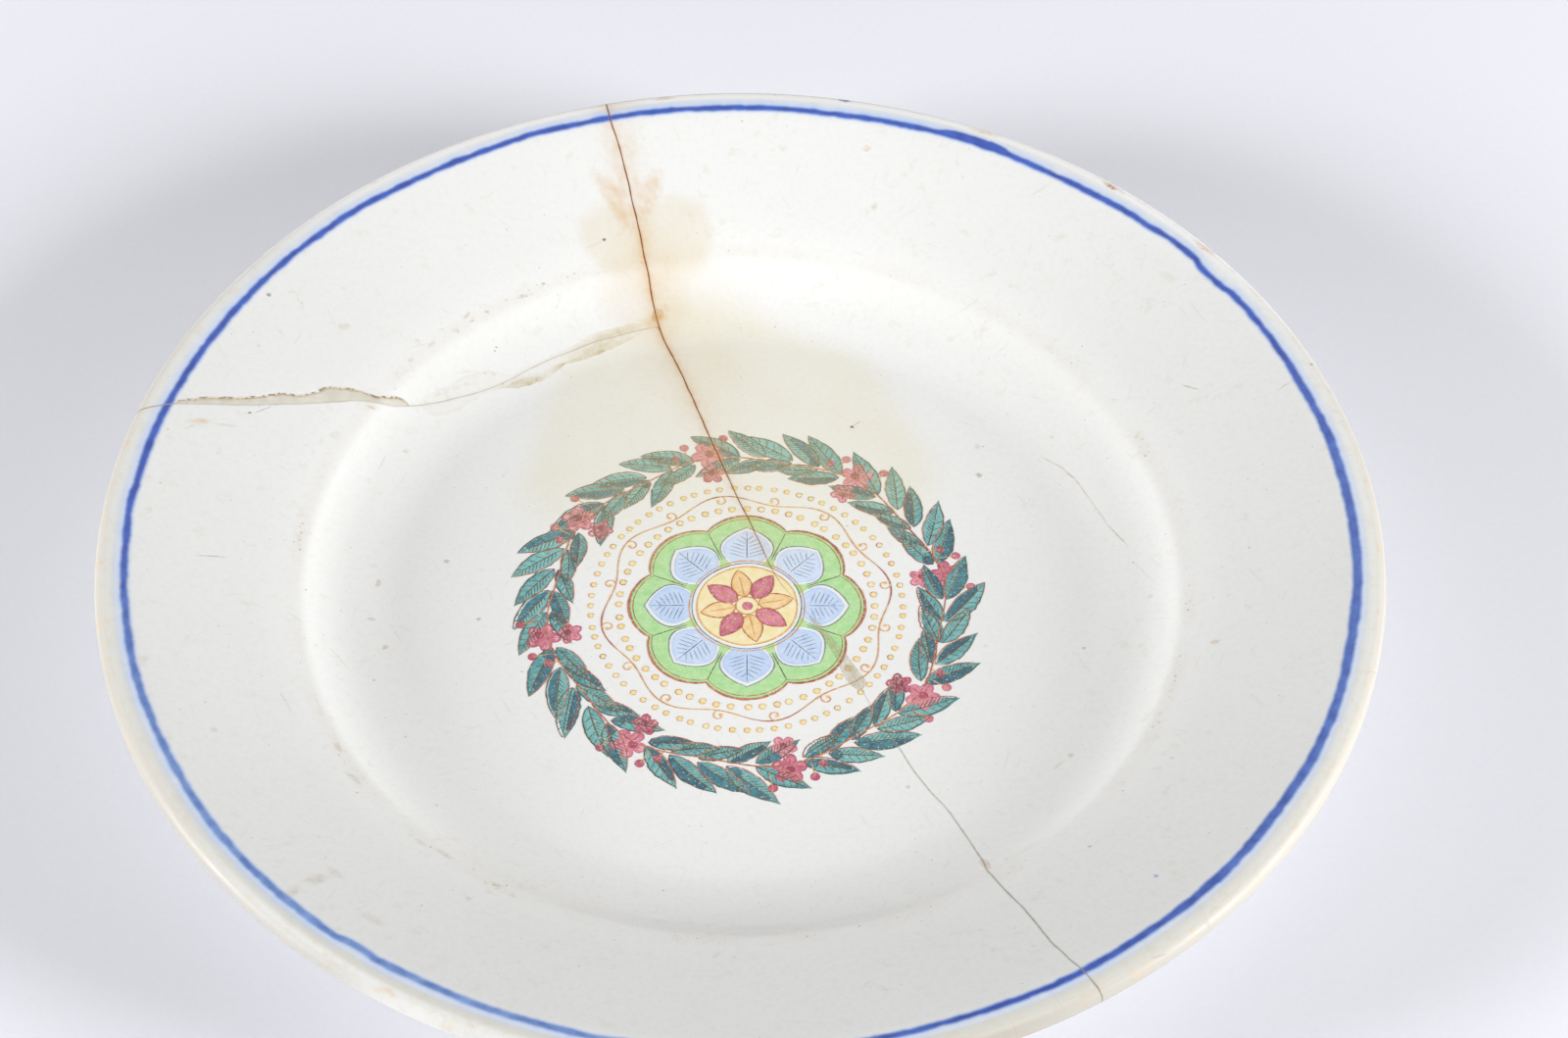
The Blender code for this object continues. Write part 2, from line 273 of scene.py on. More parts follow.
def sherd_outlines():
    """Outline in plan of each sherd, in millimetres, half the crack's gap back from the cracks."""
    meeting = int(np.argmin(np.hypot(*(main_line - JUNCTION).T)))
    main_back = main_left * main_gap(main_line)[:, None] / 2
    side_back = side_left * side_gap(side_line)[:, None] / 2
    corner = main_line[meeting] - main_back[meeting]
    left_edge = main_line - main_back
    far_edge = (side_line + side_back)[:-1]
    near_edge = (side_line - side_back)[:-1]
    back_corner = corner + side_back[-1]
    front_corner = corner - side_back[-1]
    return {
        "right_sherd": [*(main_line + main_back), (OUTSIDE, -OUTSIDE), (OUTSIDE, OUTSIDE)],
        "back_left_sherd": [*left_edge[:meeting], back_corner, *far_edge[::-1], (-OUTSIDE, OUTSIDE)],
        "front_left_sherd": [
            *near_edge, front_corner, *left_edge[meeting + 1:],
            (OUTSIDE / 2, -OUTSIDE), (-OUTSIDE, -OUTSIDE),
        ],
    }


def placed(name, data):
    """A new object, linked to the scene."""
    made = bpy.data.objects.new(name, data)
    bpy.context.scene.collection.objects.link(made)
    return made


def add_object(name, bm):
    """Turns a bmesh into a named object in the scene."""
    mesh = bpy.data.meshes.new(name)
    bm.to_mesh(mesh)
    bm.free()
    return placed(name, mesh)


def add_block(name, outline):
    """A tall block over an outline in plan, which takes one sherd out of the whole plate."""
    bm = bmesh.new()
    base = bm.faces.new([bm.verts.new((x * MM, y * MM, -BLOCK_MARGIN)) for x, y in outline])
    grown = bmesh.ops.extrude_face_region(bm, geom=[base])
    raised = [v for v in grown["geom"] if isinstance(v, bmesh.types.BMVert)]
    bmesh.ops.translate(bm, verts=raised, vec=(0, 0, HEIGHT + 2 * BLOCK_MARGIN))
    bmesh.ops.recalc_face_normals(bm, faces=bm.faces)
    for face in bm.faces:
        face.material_index = 1
    return add_object(name, bm)


def applied(piece, cutters):
    """The piece after its Booleans, as (cutter, operation), with the cutters removed."""
    for cutter, operation in cutters:
        cutter.data.materials.append(None)
        cutter.data.materials.append(None)
        boolean = piece.modifiers.new(cutter.name, "BOOLEAN")
        boolean.object = cutter
        boolean.operation = operation
        boolean.solver = "EXACT"
    evaluated = piece.evaluated_get(bpy.context.evaluated_depsgraph_get())
    mesh = bpy.data.meshes.new_from_object(evaluated)
    piece.modifiers.clear()
    piece.data = mesh
    for cutter, operation in cutters:
        bpy.data.objects.remove(cutter)
    return piece


BATCH = 2000


def nearest(line, places):
    """How far each place in plan is from the line, and the number of the line's point there."""
    starts = line[:-1]
    spans = line[1:] - starts
    lengths = np.maximum((spans**2).sum(1), 1e-9)
    reach = np.empty(len(places))
    where = np.empty(len(places))
    for first in range(0, len(places), BATCH):
        batch = slice(first, first + BATCH)
        away = places[batch, None] - starts
        share = np.clip((away * spans).sum(2) / lengths, 0, 1)
        distance = np.hypot(*np.moveaxis(away - spans * share[:, :, None], 2, 0))
        best = distance.argmin(1)
        rows = np.arange(len(best))
        reach[batch] = distance[rows, best]
        where[batch] = best + share[rows, best]
    return reach, where


# Old stains in millimetres: centre, half length, half width, turn in degrees, softness, strength.
YELLOWED = [(-4.0, 34.0, 40.5, 40.5, 0, 0.12, 0.23)]
TEA_STAINS = [
    (-26.3, 88.4, 7.6, 7.0, 0, 0.26, 0.28), (-14.2, 89.8, 8.2, 7.8, 0, 0.22, 0.26),
    (-20.0, 84.0, 10.0, 6.0, 0, 0.4, 0.08),
    (-20.5, 76.5, 9.0, 8.5, -14, 0.4, 0.2), (-9.0, 78.0, 13.0, 6.5, -28, 0.5, 0.09),
    (-10.0, 62.0, 9.0, 17.0, 20, 0.6, 0.13),
]
RUST_STAINS = [
    (-27.6, 96.6, 5.4, 1.6, -55, 0.45, 0.36), (-26.4, 97.8, 2.9, 0.8, -58, 0.6, 0.24),
    (-25.5, 99.3, 2.8, 0.8, -86, 0.6, 0.3), (-19.2, 98.0, 5.1, 1.3, 72, 0.45, 0.34),
    (-20.6, 98.9, 3.2, 0.8, 71, 0.6, 0.24), (-22.2, 98.5, 3.2, 0.8, -87, 0.6, 0.22),
    (-20.4, 93.9, 1.0, 0.8, 0, 0.6, 0.26), (-24.8, 91.8, 1.7, 1.0, -60, 0.7, 0.24),
    (-23.8, 107.0, 4.2, 1.3, 90, 0.8, 0.12), (-27.0, 104.8, 3.6, 1.3, -75, 0.8, 0.12),
    (-25.8, 107.0, 6.5, 4.2, -72, 0.8, 0.08), (-27.2, 117.5, 4.0, 5.5, 70, 0.7, 0.14),
    (-17.6, 73.0, 1.6, 1.2, 0, 0.6, 0.5), (-19.6, 71.4, 1.3, 0.9, 0, 0.6, 0.36),
    (-16.0, 75.0, 0.9, 0.8, 0, 0.6, 0.3), (-106.3, 28.3, 1.6, 0.6, 18, 0.6, 0.62),
    (-75.0, 42.0, 1.2, 0.5, 0, 0.6, 0.3),
]


def blotches(stains, x, y):
    """Soft-edged, slightly wavy ovals, laid over one another."""
    clear = np.ones(len(x))
    for cx, cy, long, wide, turn, softness, strength in stains:
        c, s = cos(radians(turn)), sin(radians(turn))
        u = ((x - cx) * c + (y - cy) * s) / long
        v = ((y - cy) * c - (x - cx) * s) / wide
        angle = np.arctan2(v, u)
        out = np.hypot(u, v) / (1 + 0.04 * np.sin(3 * angle + cx) + 0.03 * np.sin(7 * angle + cy))
        inside = np.clip((1 + softness - out) / (2 * softness), 0, 1)
        clear *= 1 - strength * inside * inside * (3 - 2 * inside)
    return 1 - clear


def store(mesh, name, values, domain="POINT"):
    """Keeps a number for each point or face of a mesh, for its material to read."""
    mesh.attributes.new(name, "FLOAT", domain).data.foreach_set("value", np.asarray(values, np.float32))


def write_stains(mesh):
    """Stores what the glaze material needs to know about the breaks, at each point of a mesh."""
    places = np.empty(len(mesh.vertices) * 3)
    mesh.vertices.foreach_get("co", places)
    x, y, z = places.reshape(-1, 3).T / MM
    plan = np.stack([x, y], 1)
    main_reach, main_at = nearest(main_line, plan)
    side_reach, side_at = nearest(side_line, plan)
    main_y = np.interp(main_at, np.arange(len(main_line)), main_line[:, 1])
    side_x = np.interp(side_at, np.arange(len(side_line)), side_line[:, 0])
    brown = np.interp(main_y, [-1, 8, 40, 60, 105, 120], [0, 0.5, 0.9, 1, 1, 0.8])
    grey = np.interp(main_y, [-72, -60, -38, -28, -20], [1, 0.7, 0.5, 0.2, 0])
    side = np.interp(side_x, [-118, -76, -66, -18], [0.8, 0.6, 0.38, 0.34])
    halo = 0.42 * np.exp(-main_reach / 0.7) + 0.24 * np.exp(-main_reach / 2.4)
    halo *= np.interp(main_y, [-1, 8, 40, 58, 70, 86, 98, 120], [0, 0.4, 0.6, 0.9, 1, 0.9, 0.5, 0.6])
    fading = np.clip((y - 2) / 26, 0, 1)
    chip_reach, chip_at = nearest(chip_line, plan)
    chip_x = np.interp(chip_at, np.arange(len(chip_line)), chip_line[:, 0])
    for name, values in {
        "crack_reach": np.minimum(np.minimum(main_reach, side_reach), 30),
        "brown_dirt": np.where(main_reach < side_reach, brown, 0),
        "grey_dirt": np.where(main_reach < side_reach, grey, side),
        "chip_reach": np.minimum(chip_reach, 30),
        "chip_dirt": np.interp(chip_x, [-111.2, -110.4, -92, -86, -69.6, -68.6], [0, 0.8, 0.9, 1, 1, 0]),
        "yellowed": blotches(YELLOWED, x, y) * fading,
        "tea_stain": blotches(TEA_STAINS, x, y),
        "rust_stain": blotches(RUST_STAINS, x, y),
        "soaked_rust": halo,
    }.items():
        store(mesh, name, values)


def smooth(piece, limit):
    """Shades a piece smoothly, but for edges sharper than the limit in degrees."""
    piece.data.shade_smooth()
    piece.data.set_sharp_from_angle(angle=radians(limit))


# The edge flaked off the far side of the side crack: x, width, depth, in millimetres.
CHIPPED_EDGE = [
    (-111.4, 0.3, 0.2), (-110.2, 0.9, 0.6), (-104.0, 1.5, 0.9), (-98.0, 1.6, 1.0), (-92.0, 2.2, 1.1),
    (-90.0, 2.3, 1.1), (-88.0, 1.6, 1.0), (-84.5, 2.4, 1.3), (-82.5, 3.3, 1.4), (-78.5, 2.6, 1.2),
    (-75.5, 1.9, 0.9), (-74.0, 1.3, 0.7), (-70.0, 1.7, 0.7), (-68.8, 1.5, 0.5),
    (-68.2, 1.1, 0.4), (-67.5, 0.3, 0.25),
]


def chip_stations():
    """Points along the flaked edge: place, way to the far side, width and depth of the flake."""
    xs, widths, depths = np.array(CHIPPED_EDGE).T
    kept = (side_line[:, 0] > xs[0]) & (side_line[:, 0] < xs[-1])
    nibble = np.random.default_rng(23).normal(0, 0.08, kept.sum())
    width = np.interp(side_line[kept, 0], xs, widths) + nibble
    depth = np.interp(side_line[kept, 0], xs, depths)
    return side_line[kept], side_left[kept], np.maximum(width, 0.25), depth


chip_at, chip_way, chip_width, chip_depth = chip_stations()
chip_line = chip_at + chip_way * chip_width[:, None]


def loft(name, loops):
    """A closed strip through a row of like outlines, given as points in millimetres."""
    bm = bmesh.new()
    rings = [[bm.verts.new(Vector(p) * MM) for p in loop] for loop in loops]
    for a, b in zip(rings, rings[1:]):
        for i in range(len(a)):
            j = (i + 1) % len(a)
            bm.faces.new((a[i], a[j], b[j], b[i]))
    bm.faces.new(rings[0][::-1])
    bm.faces.new(rings[-1])
    bmesh.ops.recalc_face_normals(bm, faces=bm.faces)
    for face in bm.faces:
        face.material_index = 1
    return add_object(name, bm)


def along_chip(name, outline):
    """A strip along the flaked edge; outline gives its points across the crack and above the glaze."""
    loops = []
    for at, way, width, depth in zip(chip_at, chip_way, chip_width, chip_depth):
        loop = []
        for across, up in outline(width, depth):
            x, y = at + way * across
            loop.append((x, y, float(surface_height(x, y)) + up))
        loops.append(loop)
    return loft(name, loops)


def flake(width, depth):
    """What the flaked edge has lost: a shallow shell-like hollow, open to the crack and upwards."""
    return (
        (-0.4, 1.0), (-0.4, -depth), (width * 0.35, -depth * 0.85), (width * 0.7, -depth * 0.5),
        (width * 0.93, -0.12), (width, 0.02), (width + 0.1, 1.0),
    )


def put(tree, kind, inputs, **settings):
    """Adds a node with its settings, and with a value or another node's output for each input."""
    added = tree.nodes.new("ShaderNode" + kind)
    for name, value in settings.items():
        setattr(added, name, value)
    for socket, value in inputs.items():
        if isinstance(value, bpy.types.NodeSocket):
            tree.links.new(value, added.inputs[socket])
        else:
            added.inputs[socket].default_value = value
    return added.outputs


def colour(hex_code):
    """An sRGB hex colour as linear RGBA."""
    parts = [int(hex_code[i:i + 2], 16) / 255 for i in (1, 3, 5)]
    return (*(p / 12.92 if p <= 0.04045 else ((p + 0.055) / 1.055) ** 2.4 for p in parts), 1)


def mix(tree, share, base, over):
    """One colour under a share of another, each a hex code or another node's output."""
    base, over = [colour(shade) if isinstance(shade, str) else shade for shade in (base, over)]
    return put(tree, "Mix", {0: share, 6: base, 7: over}, data_type="RGBA")[2]


def ramp(tree, value, low, high, start=0, end=1, bend="LINEAR"):
    """The way of a value from low to high, told as the way from start to end, and held at both."""
    return put(tree, "MapRange", {0: value, 1: low, 2: high, 3: start, 4: end}, interpolation_type=bend)[0]


def eased(tree, value, low, high, start=0, end=1):
    """A ramp with soft ends."""
    return ramp(tree, value, low, high, start, end, "SMOOTHSTEP")


def times(tree, value, *factors, clamp=False):
    """The product of the values."""
    for factor in factors:
        value = put(tree, "Math", {0: value, 1: factor}, operation="MULTIPLY", use_clamp=clamp)[0]
    return value


def plus(tree, value, other, share=1, clamp=False):
    """The value and a share of the other one."""
    return put(tree, "Math", {0: other, 1: share, 2: value}, operation="MULTIPLY_ADD", use_clamp=clamp)[0]


def noise(tree, place, size, detail, roughness=0.5):
    """Cloudy noise with patches of about the given size."""
    inputs = {"Vector": place, "Scale": 1 / size, "Detail": detail, "Roughness": roughness}
    return put(tree, "TexNoise", inputs)[0]


def told(tree, name):
    """A number that is stored at each point of the mesh."""
    return put(tree, "Attribute", {}, attribute_name=name)["Fac"]


def bumps(tree, height, strength, depth):
    """A normal bent by a height that stands for so many millimetres."""
    return put(tree, "Bump", {"Height": height, "Strength": strength, "Distance": depth * MM})[0]


def new_tree(name):
    """A material with an empty node tree."""
    material = bpy.data.materials.new(name)
    material.use_nodes = True
    material.node_tree.nodes.clear()
    return material, material.node_tree


def millimetres(tree, height=0):
    """The place on the object in millimetres, flattened to its plan unless height is 1."""
    place = put(tree, "TexCoord", {})["Object"]
    return put(tree, "VectorMath", {0: place, 1: (1000, 1000, 1000 * height)}, operation="MULTIPLY")[0]


def surface(tree, base, roughness, ior, **more):
    """Ends a node tree with its shader."""
    inputs = {"Base Color": base, "Roughness": roughness, "IOR": ior, **more}
    put(tree, "OutputMaterial", {0: put(tree, "BsdfPrincipled", inputs)[0]})


def patches(tree, flat):
    """How much dirt and rust have settled from place to place."""
    return ramp(tree, noise(tree, flat, 2.2, 3), 0.34, 0.66, 0.7, 1.2)


def stained(tree, base, flat):
    """The base colour under old tea-brown stains and rust."""
    cloud = ramp(tree, noise(tree, flat, 9, 3), 0.3, 0.7, 0.85, 1.15)
    patchy = patches(tree, flat)
    for stain, spread, shade in (
        ("yellowed", cloud, "#D7CC8A"), ("tea_stain", cloud, "#D0BA84"),
        ("rust_stain", patchy, "#CEA35C"), ("soaked_rust", patchy, "#CB9A5A"),
    ):
        base = mix(tree, times(tree, told(tree, stain), spread, clamp=True), base, shade)
    return base


def soiled(tree, base, flat):
    """The base colour under the dirt that has crept along the cracks and beaded along the flaked edge."""
    crack = told(tree, "crack_reach")
    patchy = patches(tree, flat)
    for dirt, start, end, strength, shade in (
        ("brown_dirt", 0.05, 0.42, 0.58, "#BE7830"), ("brown_dirt", 0.03, 0.15, 0.94, "#3E2814"),
        ("grey_dirt", 0.08, 0.5, 0.32, "#A69C88"), ("grey_dirt", 0.03, 0.18, 0.58, "#857A6E"),
    ):
        near = eased(tree, crack, start, end, strength, 0)
        base = mix(tree, times(tree, near, told(tree, dirt), patchy, clamp=True), base, shade)
    chip = told(tree, "chip_reach")
    beads = eased(tree, noise(tree, flat, 0.8, 0), 0.5, 0.57)
    for width, least, most, shade in ((0.5, 0.24, 0.44, "#B79C72"), (0.26, 0.0, 0.88, "#4C3C36")):
        line = eased(tree, chip, 0.3 * width, width, 1, 0)
        beaded = ramp(tree, beads, 0, 1, least, most)
        base = mix(tree, times(tree, line, beaded, told(tree, "chip_dirt")), base, shade)
    return base


def towards(tree, turn, azimuth, low, high, start=0, end=1):
    """A soft ramp over the cosine of a place's turn away from an azimuth in degrees."""
    way = (cos(radians(azimuth)), sin(radians(azimuth)), 0)
    facing = put(tree, "VectorMath", {0: turn, 1: way}, operation="DOT_PRODUCT")["Value"]
    return eased(tree, facing, low, high, start, end)


# The cobalt line: its distance from the centre, its half width, and the places where the hand slipped,
# as azimuth and width in degrees, shift in millimetres.
LINE_RADIUS = 116.8
LINE_HALF_WIDTH = 0.66
LINE_SLIPS = [
    (34.5, 3.0, -0.6), (40.0, 4.0, 0.35), (235.5, 2.2, -0.5), (178.0, 2.5, 0.25), (120.0, 9.0, -0.3),
]


def cobalt(tree, base, flat, radius, turn):
    """The hand-banded blue line, sunk into the glaze, with the pale flow of its pigment outwards."""
    sway = ramp(tree, noise(tree, turn, 1 / 4, 1), 0, 1, LINE_RADIUS - 0.8, LINE_RADIUS + 0.8)
    offset = plus(tree, plus(tree, radius, sway, -1), noise(tree, turn, 1 / 40, 1), -0.45)
    for azimuth, width, shift in LINE_SLIPS:
        offset = plus(tree, offset, towards(tree, turn, azimuth, cos(radians(width)), 1, 0, -shift))
    offset = plus(tree, offset, 0.22)
    # In one place the brush went over it twice, side by side
    double = towards(tree, turn, 65, cos(radians(4.5)), cos(radians(2.0)), 0, 0.9)
    middle = put(tree, "Math", {0: plus(tree, offset, double, -0.5)}, operation="ABSOLUTE")[0]
    middle = plus(tree, middle, double, -0.5)
    load = noise(tree, turn, 1 / 26, 3)
    half = ramp(tree, load, 0.3, 0.7, LINE_HALF_WIDTH - 0.12, LINE_HALF_WIDTH + 0.12)
    broad = towards(tree, turn, 342, 0.7, 0.97)
    past = plus(tree, middle, plus(tree, half, broad, 0.22), -1)
    pigment = eased(tree, past, -0.42, 0.48, 0.99, 0)
    outer = eased(tree, offset, 0.5, 2.9, 0.72, 0)
    inner = eased(tree, offset, -1.6, -0.4)
    uneven = ramp(tree, load, 0.3, 0.7, 0.6, 1.1)
    heavy = towards(tree, turn, 82, 0.86, 0.985, 1, 1.35)
    flow = times(tree, outer, inner, uneven, heavy, clamp=True)
    strokes = ramp(tree, noise(tree, flat, 3.5, 3), 0.3, 0.7, 0.1, 0.9)
    deep = mix(tree, strokes, "#0C3394", "#2C5BBE")
    pale = mix(tree, strokes, "#4A6CB2", "#80A0D4")
    thin = plus(tree, towards(tree, turn, 235, 0.55, 0.97), broad, 0.35, clamp=True)
    # Only the upper side is painted
    top = put(tree, "SeparateXYZ", {0: put(tree, "TexCoord", {})["Normal"]})[2]
    top = ramp(tree, top, 0.1, 0.3)
    base = mix(tree, times(tree, flow, top), base, "#A2BFEE")
    return mix(tree, times(tree, pigment, top), base, mix(tree, thin, deep, pale))


# Specks in the glaze: spacing and greatest radius in millimetres, share of places that have one, strength,
# colour, and how much they crowd on the verge.
SPECKS = [
    (1.7, 0.17, 0.22, 0.3, "#A09C92", 0), (3.2, 0.22, 0.18, 0.5, "#8C8474", 0),
    (7.0, 0.34, 0.22, 0.55, "#A58C69", 0), (16.0, 0.95, 0.22, 0.28, "#C2A57C", 0),
    (1.3, 0.48, 0.0, 0.46, "#A8926A", 1.0), (2.9, 0.85, 0.0, 0.22, "#BFA678", 0.8),
]
# Pigment and dirt under the glaze, and long scratches: x, y, half length, half width in millimetres, turn,
# strength, colour.
MARKS = [
    (26.5, 107.0, 1.1, 0.8, 0, 0.38, "#C08A4E"), (28.0, 94.5, 0.9, 0.8, 70, 0.3, "#B99A6A"),
    (47.8, 30.0, 0.8, 0.7, 0, 0.55, "#8E7C5C"), (22.5, 43.0, 0.45, 0.4, 0, 0.8, "#4E4438"),
    (23.4, 44.0, 1.4, 0.25, 40, 0.35, "#7A6A50"), (-96.0, 61.5, 0.55, 0.5, 0, 0.8, "#4E4438"),
    (-81.0, 58.5, 1.6, 0.9, 20, 0.35, "#C4AC74"), (-29.0, 87.5, 0.4, 0.35, 0, 0.8, "#4E4438"),
    (-41.5, 76.5, 0.5, 0.4, 0, 0.55, "#7A6A50"), (-58.1, 7.1, 0.7, 0.6, 0, 0.55, "#7E5E3A"),
    (-71.0, 1.2, 1.2, 0.6, 80, 0.4, "#A08258"), (-68.5, -14.6, 0.9, 0.6, 30, 0.4, "#A08258"),
    (61.6, -41.1, 0.9, 0.7, 30, 0.36, "#9A8A62"), (89.6, -20.7, 1.1, 0.7, 0, 0.42, "#B98E58"),
    (-97.7, 33.4, 0.6, 0.35, 30, 0.7, "#5E4A34"), (-95.2, 34.9, 2.4, 0.14, 40, 0.6, "#7A6648"),
    (-74.9, 41.9, 0.9, 0.2, -8, 0.5, "#8E8052"), (-101.6, 29.0, 3.0, 0.35, 14, 0.22, "#A08A66"),
    (-56.9, 66.9, 1.3, 0.35, 52, 0.4, "#A8946A"), (-55.8, 66.0, 0.7, 0.3, 40, 0.4, "#A8946A"),
    (-51.1, 61.2, 0.3, 0.25, 0, 0.45, "#6A6048"), (-50.8, 62.0, 0.3, 0.25, 0, 0.45, "#6A6048"),
    (-108.2, 26.3, 1.5, 0.3, 42, 0.25, "#9A8C70"), (-52.8, 68.5, 0.5, 0.4, 0, 0.45, "#8E8260"),
    (-59.2, 63.3, 1.0, 0.35, 45, 0.28, "#A8946A"), (-61.7, 62.8, 0.7, 0.4, 0, 0.25, "#A8946A"),
    (-63.7, 59.1, 1.2, 0.5, 50, 0.25, "#A8946A"), (-66.6, 59.3, 0.7, 0.4, 0, 0.22, "#A8946A"),
    (-67.7, 54.6, 0.9, 0.5, 50, 0.2, "#A8946A"), (-45.6, 73.2, 1.6, 0.5, 25, 0.28, "#A8946A"),
    (-49.1, 71.7, 0.5, 0.4, 0, 0.3, "#A8946A"), (-81.5, 33.4, 1.6, 0.9, 40, 0.2, "#B5A88E"),
    (-84.0, 31.0, 1.2, 0.7, 60, 0.16, "#B5A88E"), (-83.5, 36.3, 0.8, 0.6, 0, 0.16, "#B5A88E"),
    (-67.8, 34.8, 0.7, 0.6, 0, 0.3, "#A09A80"), (-53.0, 56.0, 0.3, 0.25, 0, 0.4, "#6A6048"),
    (-74.5, -80.1, 2.4, 1.5, 30, 0.34, "#B09A72"), (-78.1, -84.4, 2.2, 1.3, 60, 0.26, "#B09A72"),
    (-71.6, -77.7, 2.0, 1.0, -40, 0.26, "#B09A72"), (-64.2, -88.4, 3.0, 1.2, -30, 0.2, "#B89A70"),
    (-74.6, -43.8, 1.5, 0.8, -60, 0.34, "#AE986C"), (-71.2, -51.1, 2.2, 0.7, -40, 0.34, "#AE986C"),
    (-58.0, -65.4, 1.6, 0.6, -40, 0.28, "#AE986C"), (-53.5, -67.7, 2.4, 0.6, -35, 0.3, "#AE986C"),
    (-43.8, -74.3, 1.6, 0.6, -25, 0.3, "#AE986C"), (-51.0, -7.4, 0.6, 0.5, 0, 0.5, "#8A6A48"),
    (-71.6, -7.9, 0.9, 0.6, 0, 0.34, "#A08258"), (59.3, -43.1, 1.8, 0.5, 40, 0.22, "#A89A74"),
    (66.0, -14.5, 0.4, 0.35, 0, 0.6, "#6A6258"), (62.7, -68.0, 0.4, 0.35, 0, 0.6, "#6A6258"),
    (30.9, -47.5, 0.6, 0.5, 0, 0.45, "#8A7A60"), (87.5, 68.2, 2.4, 1.0, -44, 0.18, "#C7AE80"),
    (90.2, 42.1, 2.4, 0.24, -34, 0.45, "#A8906A"), (107.8, 36.7, 1.9, 0.22, 27, 0.32, "#A8906A"),
    (22.0, 119.2, 1.6, 0.9, -10, 0.85, "#3A55A4"), (73.0, -79.0, 0.6, 0.5, 0, 0.8, "#4C68B4"),
    (77.6, 92.3, 3.6, 0.9, -42, 0.44, "#C79A68"), (77.2, 92.1, 1.2, 0.7, -42, 0.72, "#A2602E"),
    (-16.8, 119.3, 2.8, 0.7, 8, 0.4, "#C9A26C"), (51.2, 109.0, 4.0, 0.8, -25, 0.36, "#CDA878"),
    (95.0, 74.2, 3.6, 0.9, -52, 0.42, "#CDA070"), (113.5, 41.3, 0.5, 0.4, 0, 0.7, "#8A7A60"),
    (62.8, 33.0, 3.2, 0.22, -38, 0.46, "#A88A5A"),
    (65.8, 29.9, 3.4, 0.22, -53, 0.46, "#A88A5A"), (68.4, 25.4, 4.0, 0.2, -65, 0.42, "#A88A5A"),
    (71.2, 19.2, 5.2, 0.2, -66, 0.42, "#A88A5A"), (74.2, 13.1, 4.6, 0.2, -60, 0.48, "#A88A5A"),
    (-101.4, -3.2, 3.4, 0.18, 16, 0.5, "#8C7A58"), (-76.6, -19.6, 4.2, 0.16, -48, 0.22, "#9A8C70"),
]
# A mark is full out to CORE and fades up to REACH, told in its half lengths.
CORE = 0.35
REACH = 1.15
# Fine marks of knives: turn in degrees, length and width in millimetres.
KNIFE_MARKS = [(24, 11.0, 0.7), (71, 9.0, 0.6), (118, 14.0, 0.7), (152, 8.0, 0.6)]


def specked(tree, base, flat, radius):
    """Pits and specks all over, crowding where the next plate of a stack stood on the verge."""
    patch = ramp(tree, noise(tree, flat, 14, 2), 0.38, 0.62, 0.12, 1.0)
    away = put(tree, "Math", {0: plus(tree, radius, VERGE_RADIUS / MM + 0.4, -1)}, operation="ABSOLUTE")[0]
    ring = times(tree, eased(tree, away, 0.2, 2.4, 1, 0), patch)
    for spacing, size, share, strength, shade, crowding in SPECKS:
        cell = put(tree, "TexVoronoi", {"Vector": flat, "Scale": 1 / spacing}, voronoi_dimensions="2D")
        chosen = plus(tree, put(tree, "SeparateColor", {0: cell["Color"]})[0], ring, crowding)
        grown = ramp(tree, chosen, 1 - share, 1 + max(crowding, 0.01), 0, size)
        past = plus(tree, times(tree, cell["Distance"], spacing), grown, -1)
        base = mix(tree, eased(tree, past, -0.6 * size, 0, strength, 0), base, shade)
    smudge = eased(tree, noise(tree, flat, 3.4, 5, 0.65), 0.54, 0.72, 0, 0.24)
    smudge = times(tree, smudge, ramp(tree, radius, 62, 84, 0.25, 1), patch)
    base = mix(tree, smudge, base, "#C2AC80")
    return mix(tree, times(tree, ring, 0.1), base, "#CDB58E")


def framed(tree, place, x, y, long, wide, turn):
    """The place as told from a mark's centre, in half lengths and half widths of the mark."""
    frame = {"Location": (x, y, 0), "Rotation": (0, 0, radians(turn)), "Scale": (long, wide, 1)}
    return put(tree, "Mapping", {"Vector": place, **frame}, vector_type="TEXTURE")[0]


def marked(tree, base, flat):
    """Single spots, blots and scratches, the wider ones with ragged edges."""
    grain = put(tree, "TexNoise", {"Vector": flat, "Scale": 1 / 1.2, "Detail": 3, "Roughness": 0.6})
    shake = put(tree, "VectorMath", {0: grain["Color"], 1: (0.5, 0.5, 0.5)}, operation="SUBTRACT")[0]
    ragged = put(tree, "VectorMath", {0: shake, 1: (0.9, 0.9, 0), 2: flat}, operation="MULTIPLY_ADD")[0]
    broken = ramp(tree, grain[0], 0.36, 0.62, 0.45, 1.2)
    for x, y, long, wide, turn, strength, shade in MARKS:
        spot = framed(tree, ragged if wide > 0.3 else flat, x, y, REACH * long, REACH * wide, turn)
        inside = put(tree, "TexGradient", {0: spot}, gradient_type="SPHERICAL")["Fac"]
        mask = times(tree, eased(tree, inside, 0, 1 - CORE / REACH, 0, strength), broken)
        base = mix(tree, mask, base, shade)
    return base


def knife_cuts(tree, flat):
    """How much of a fine scratch there is, from use."""
    cuts = 0
    for turn, long, wide in KNIFE_MARKS:
        cut = eased(tree, noise(tree, framed(tree, flat, 0, 0, long, wide, turn), 1, 1), 0.735, 0.78)
        cuts = put(tree, "Math", {0: cuts, 1: cut}, operation="MAXIMUM")[0]
    return cuts


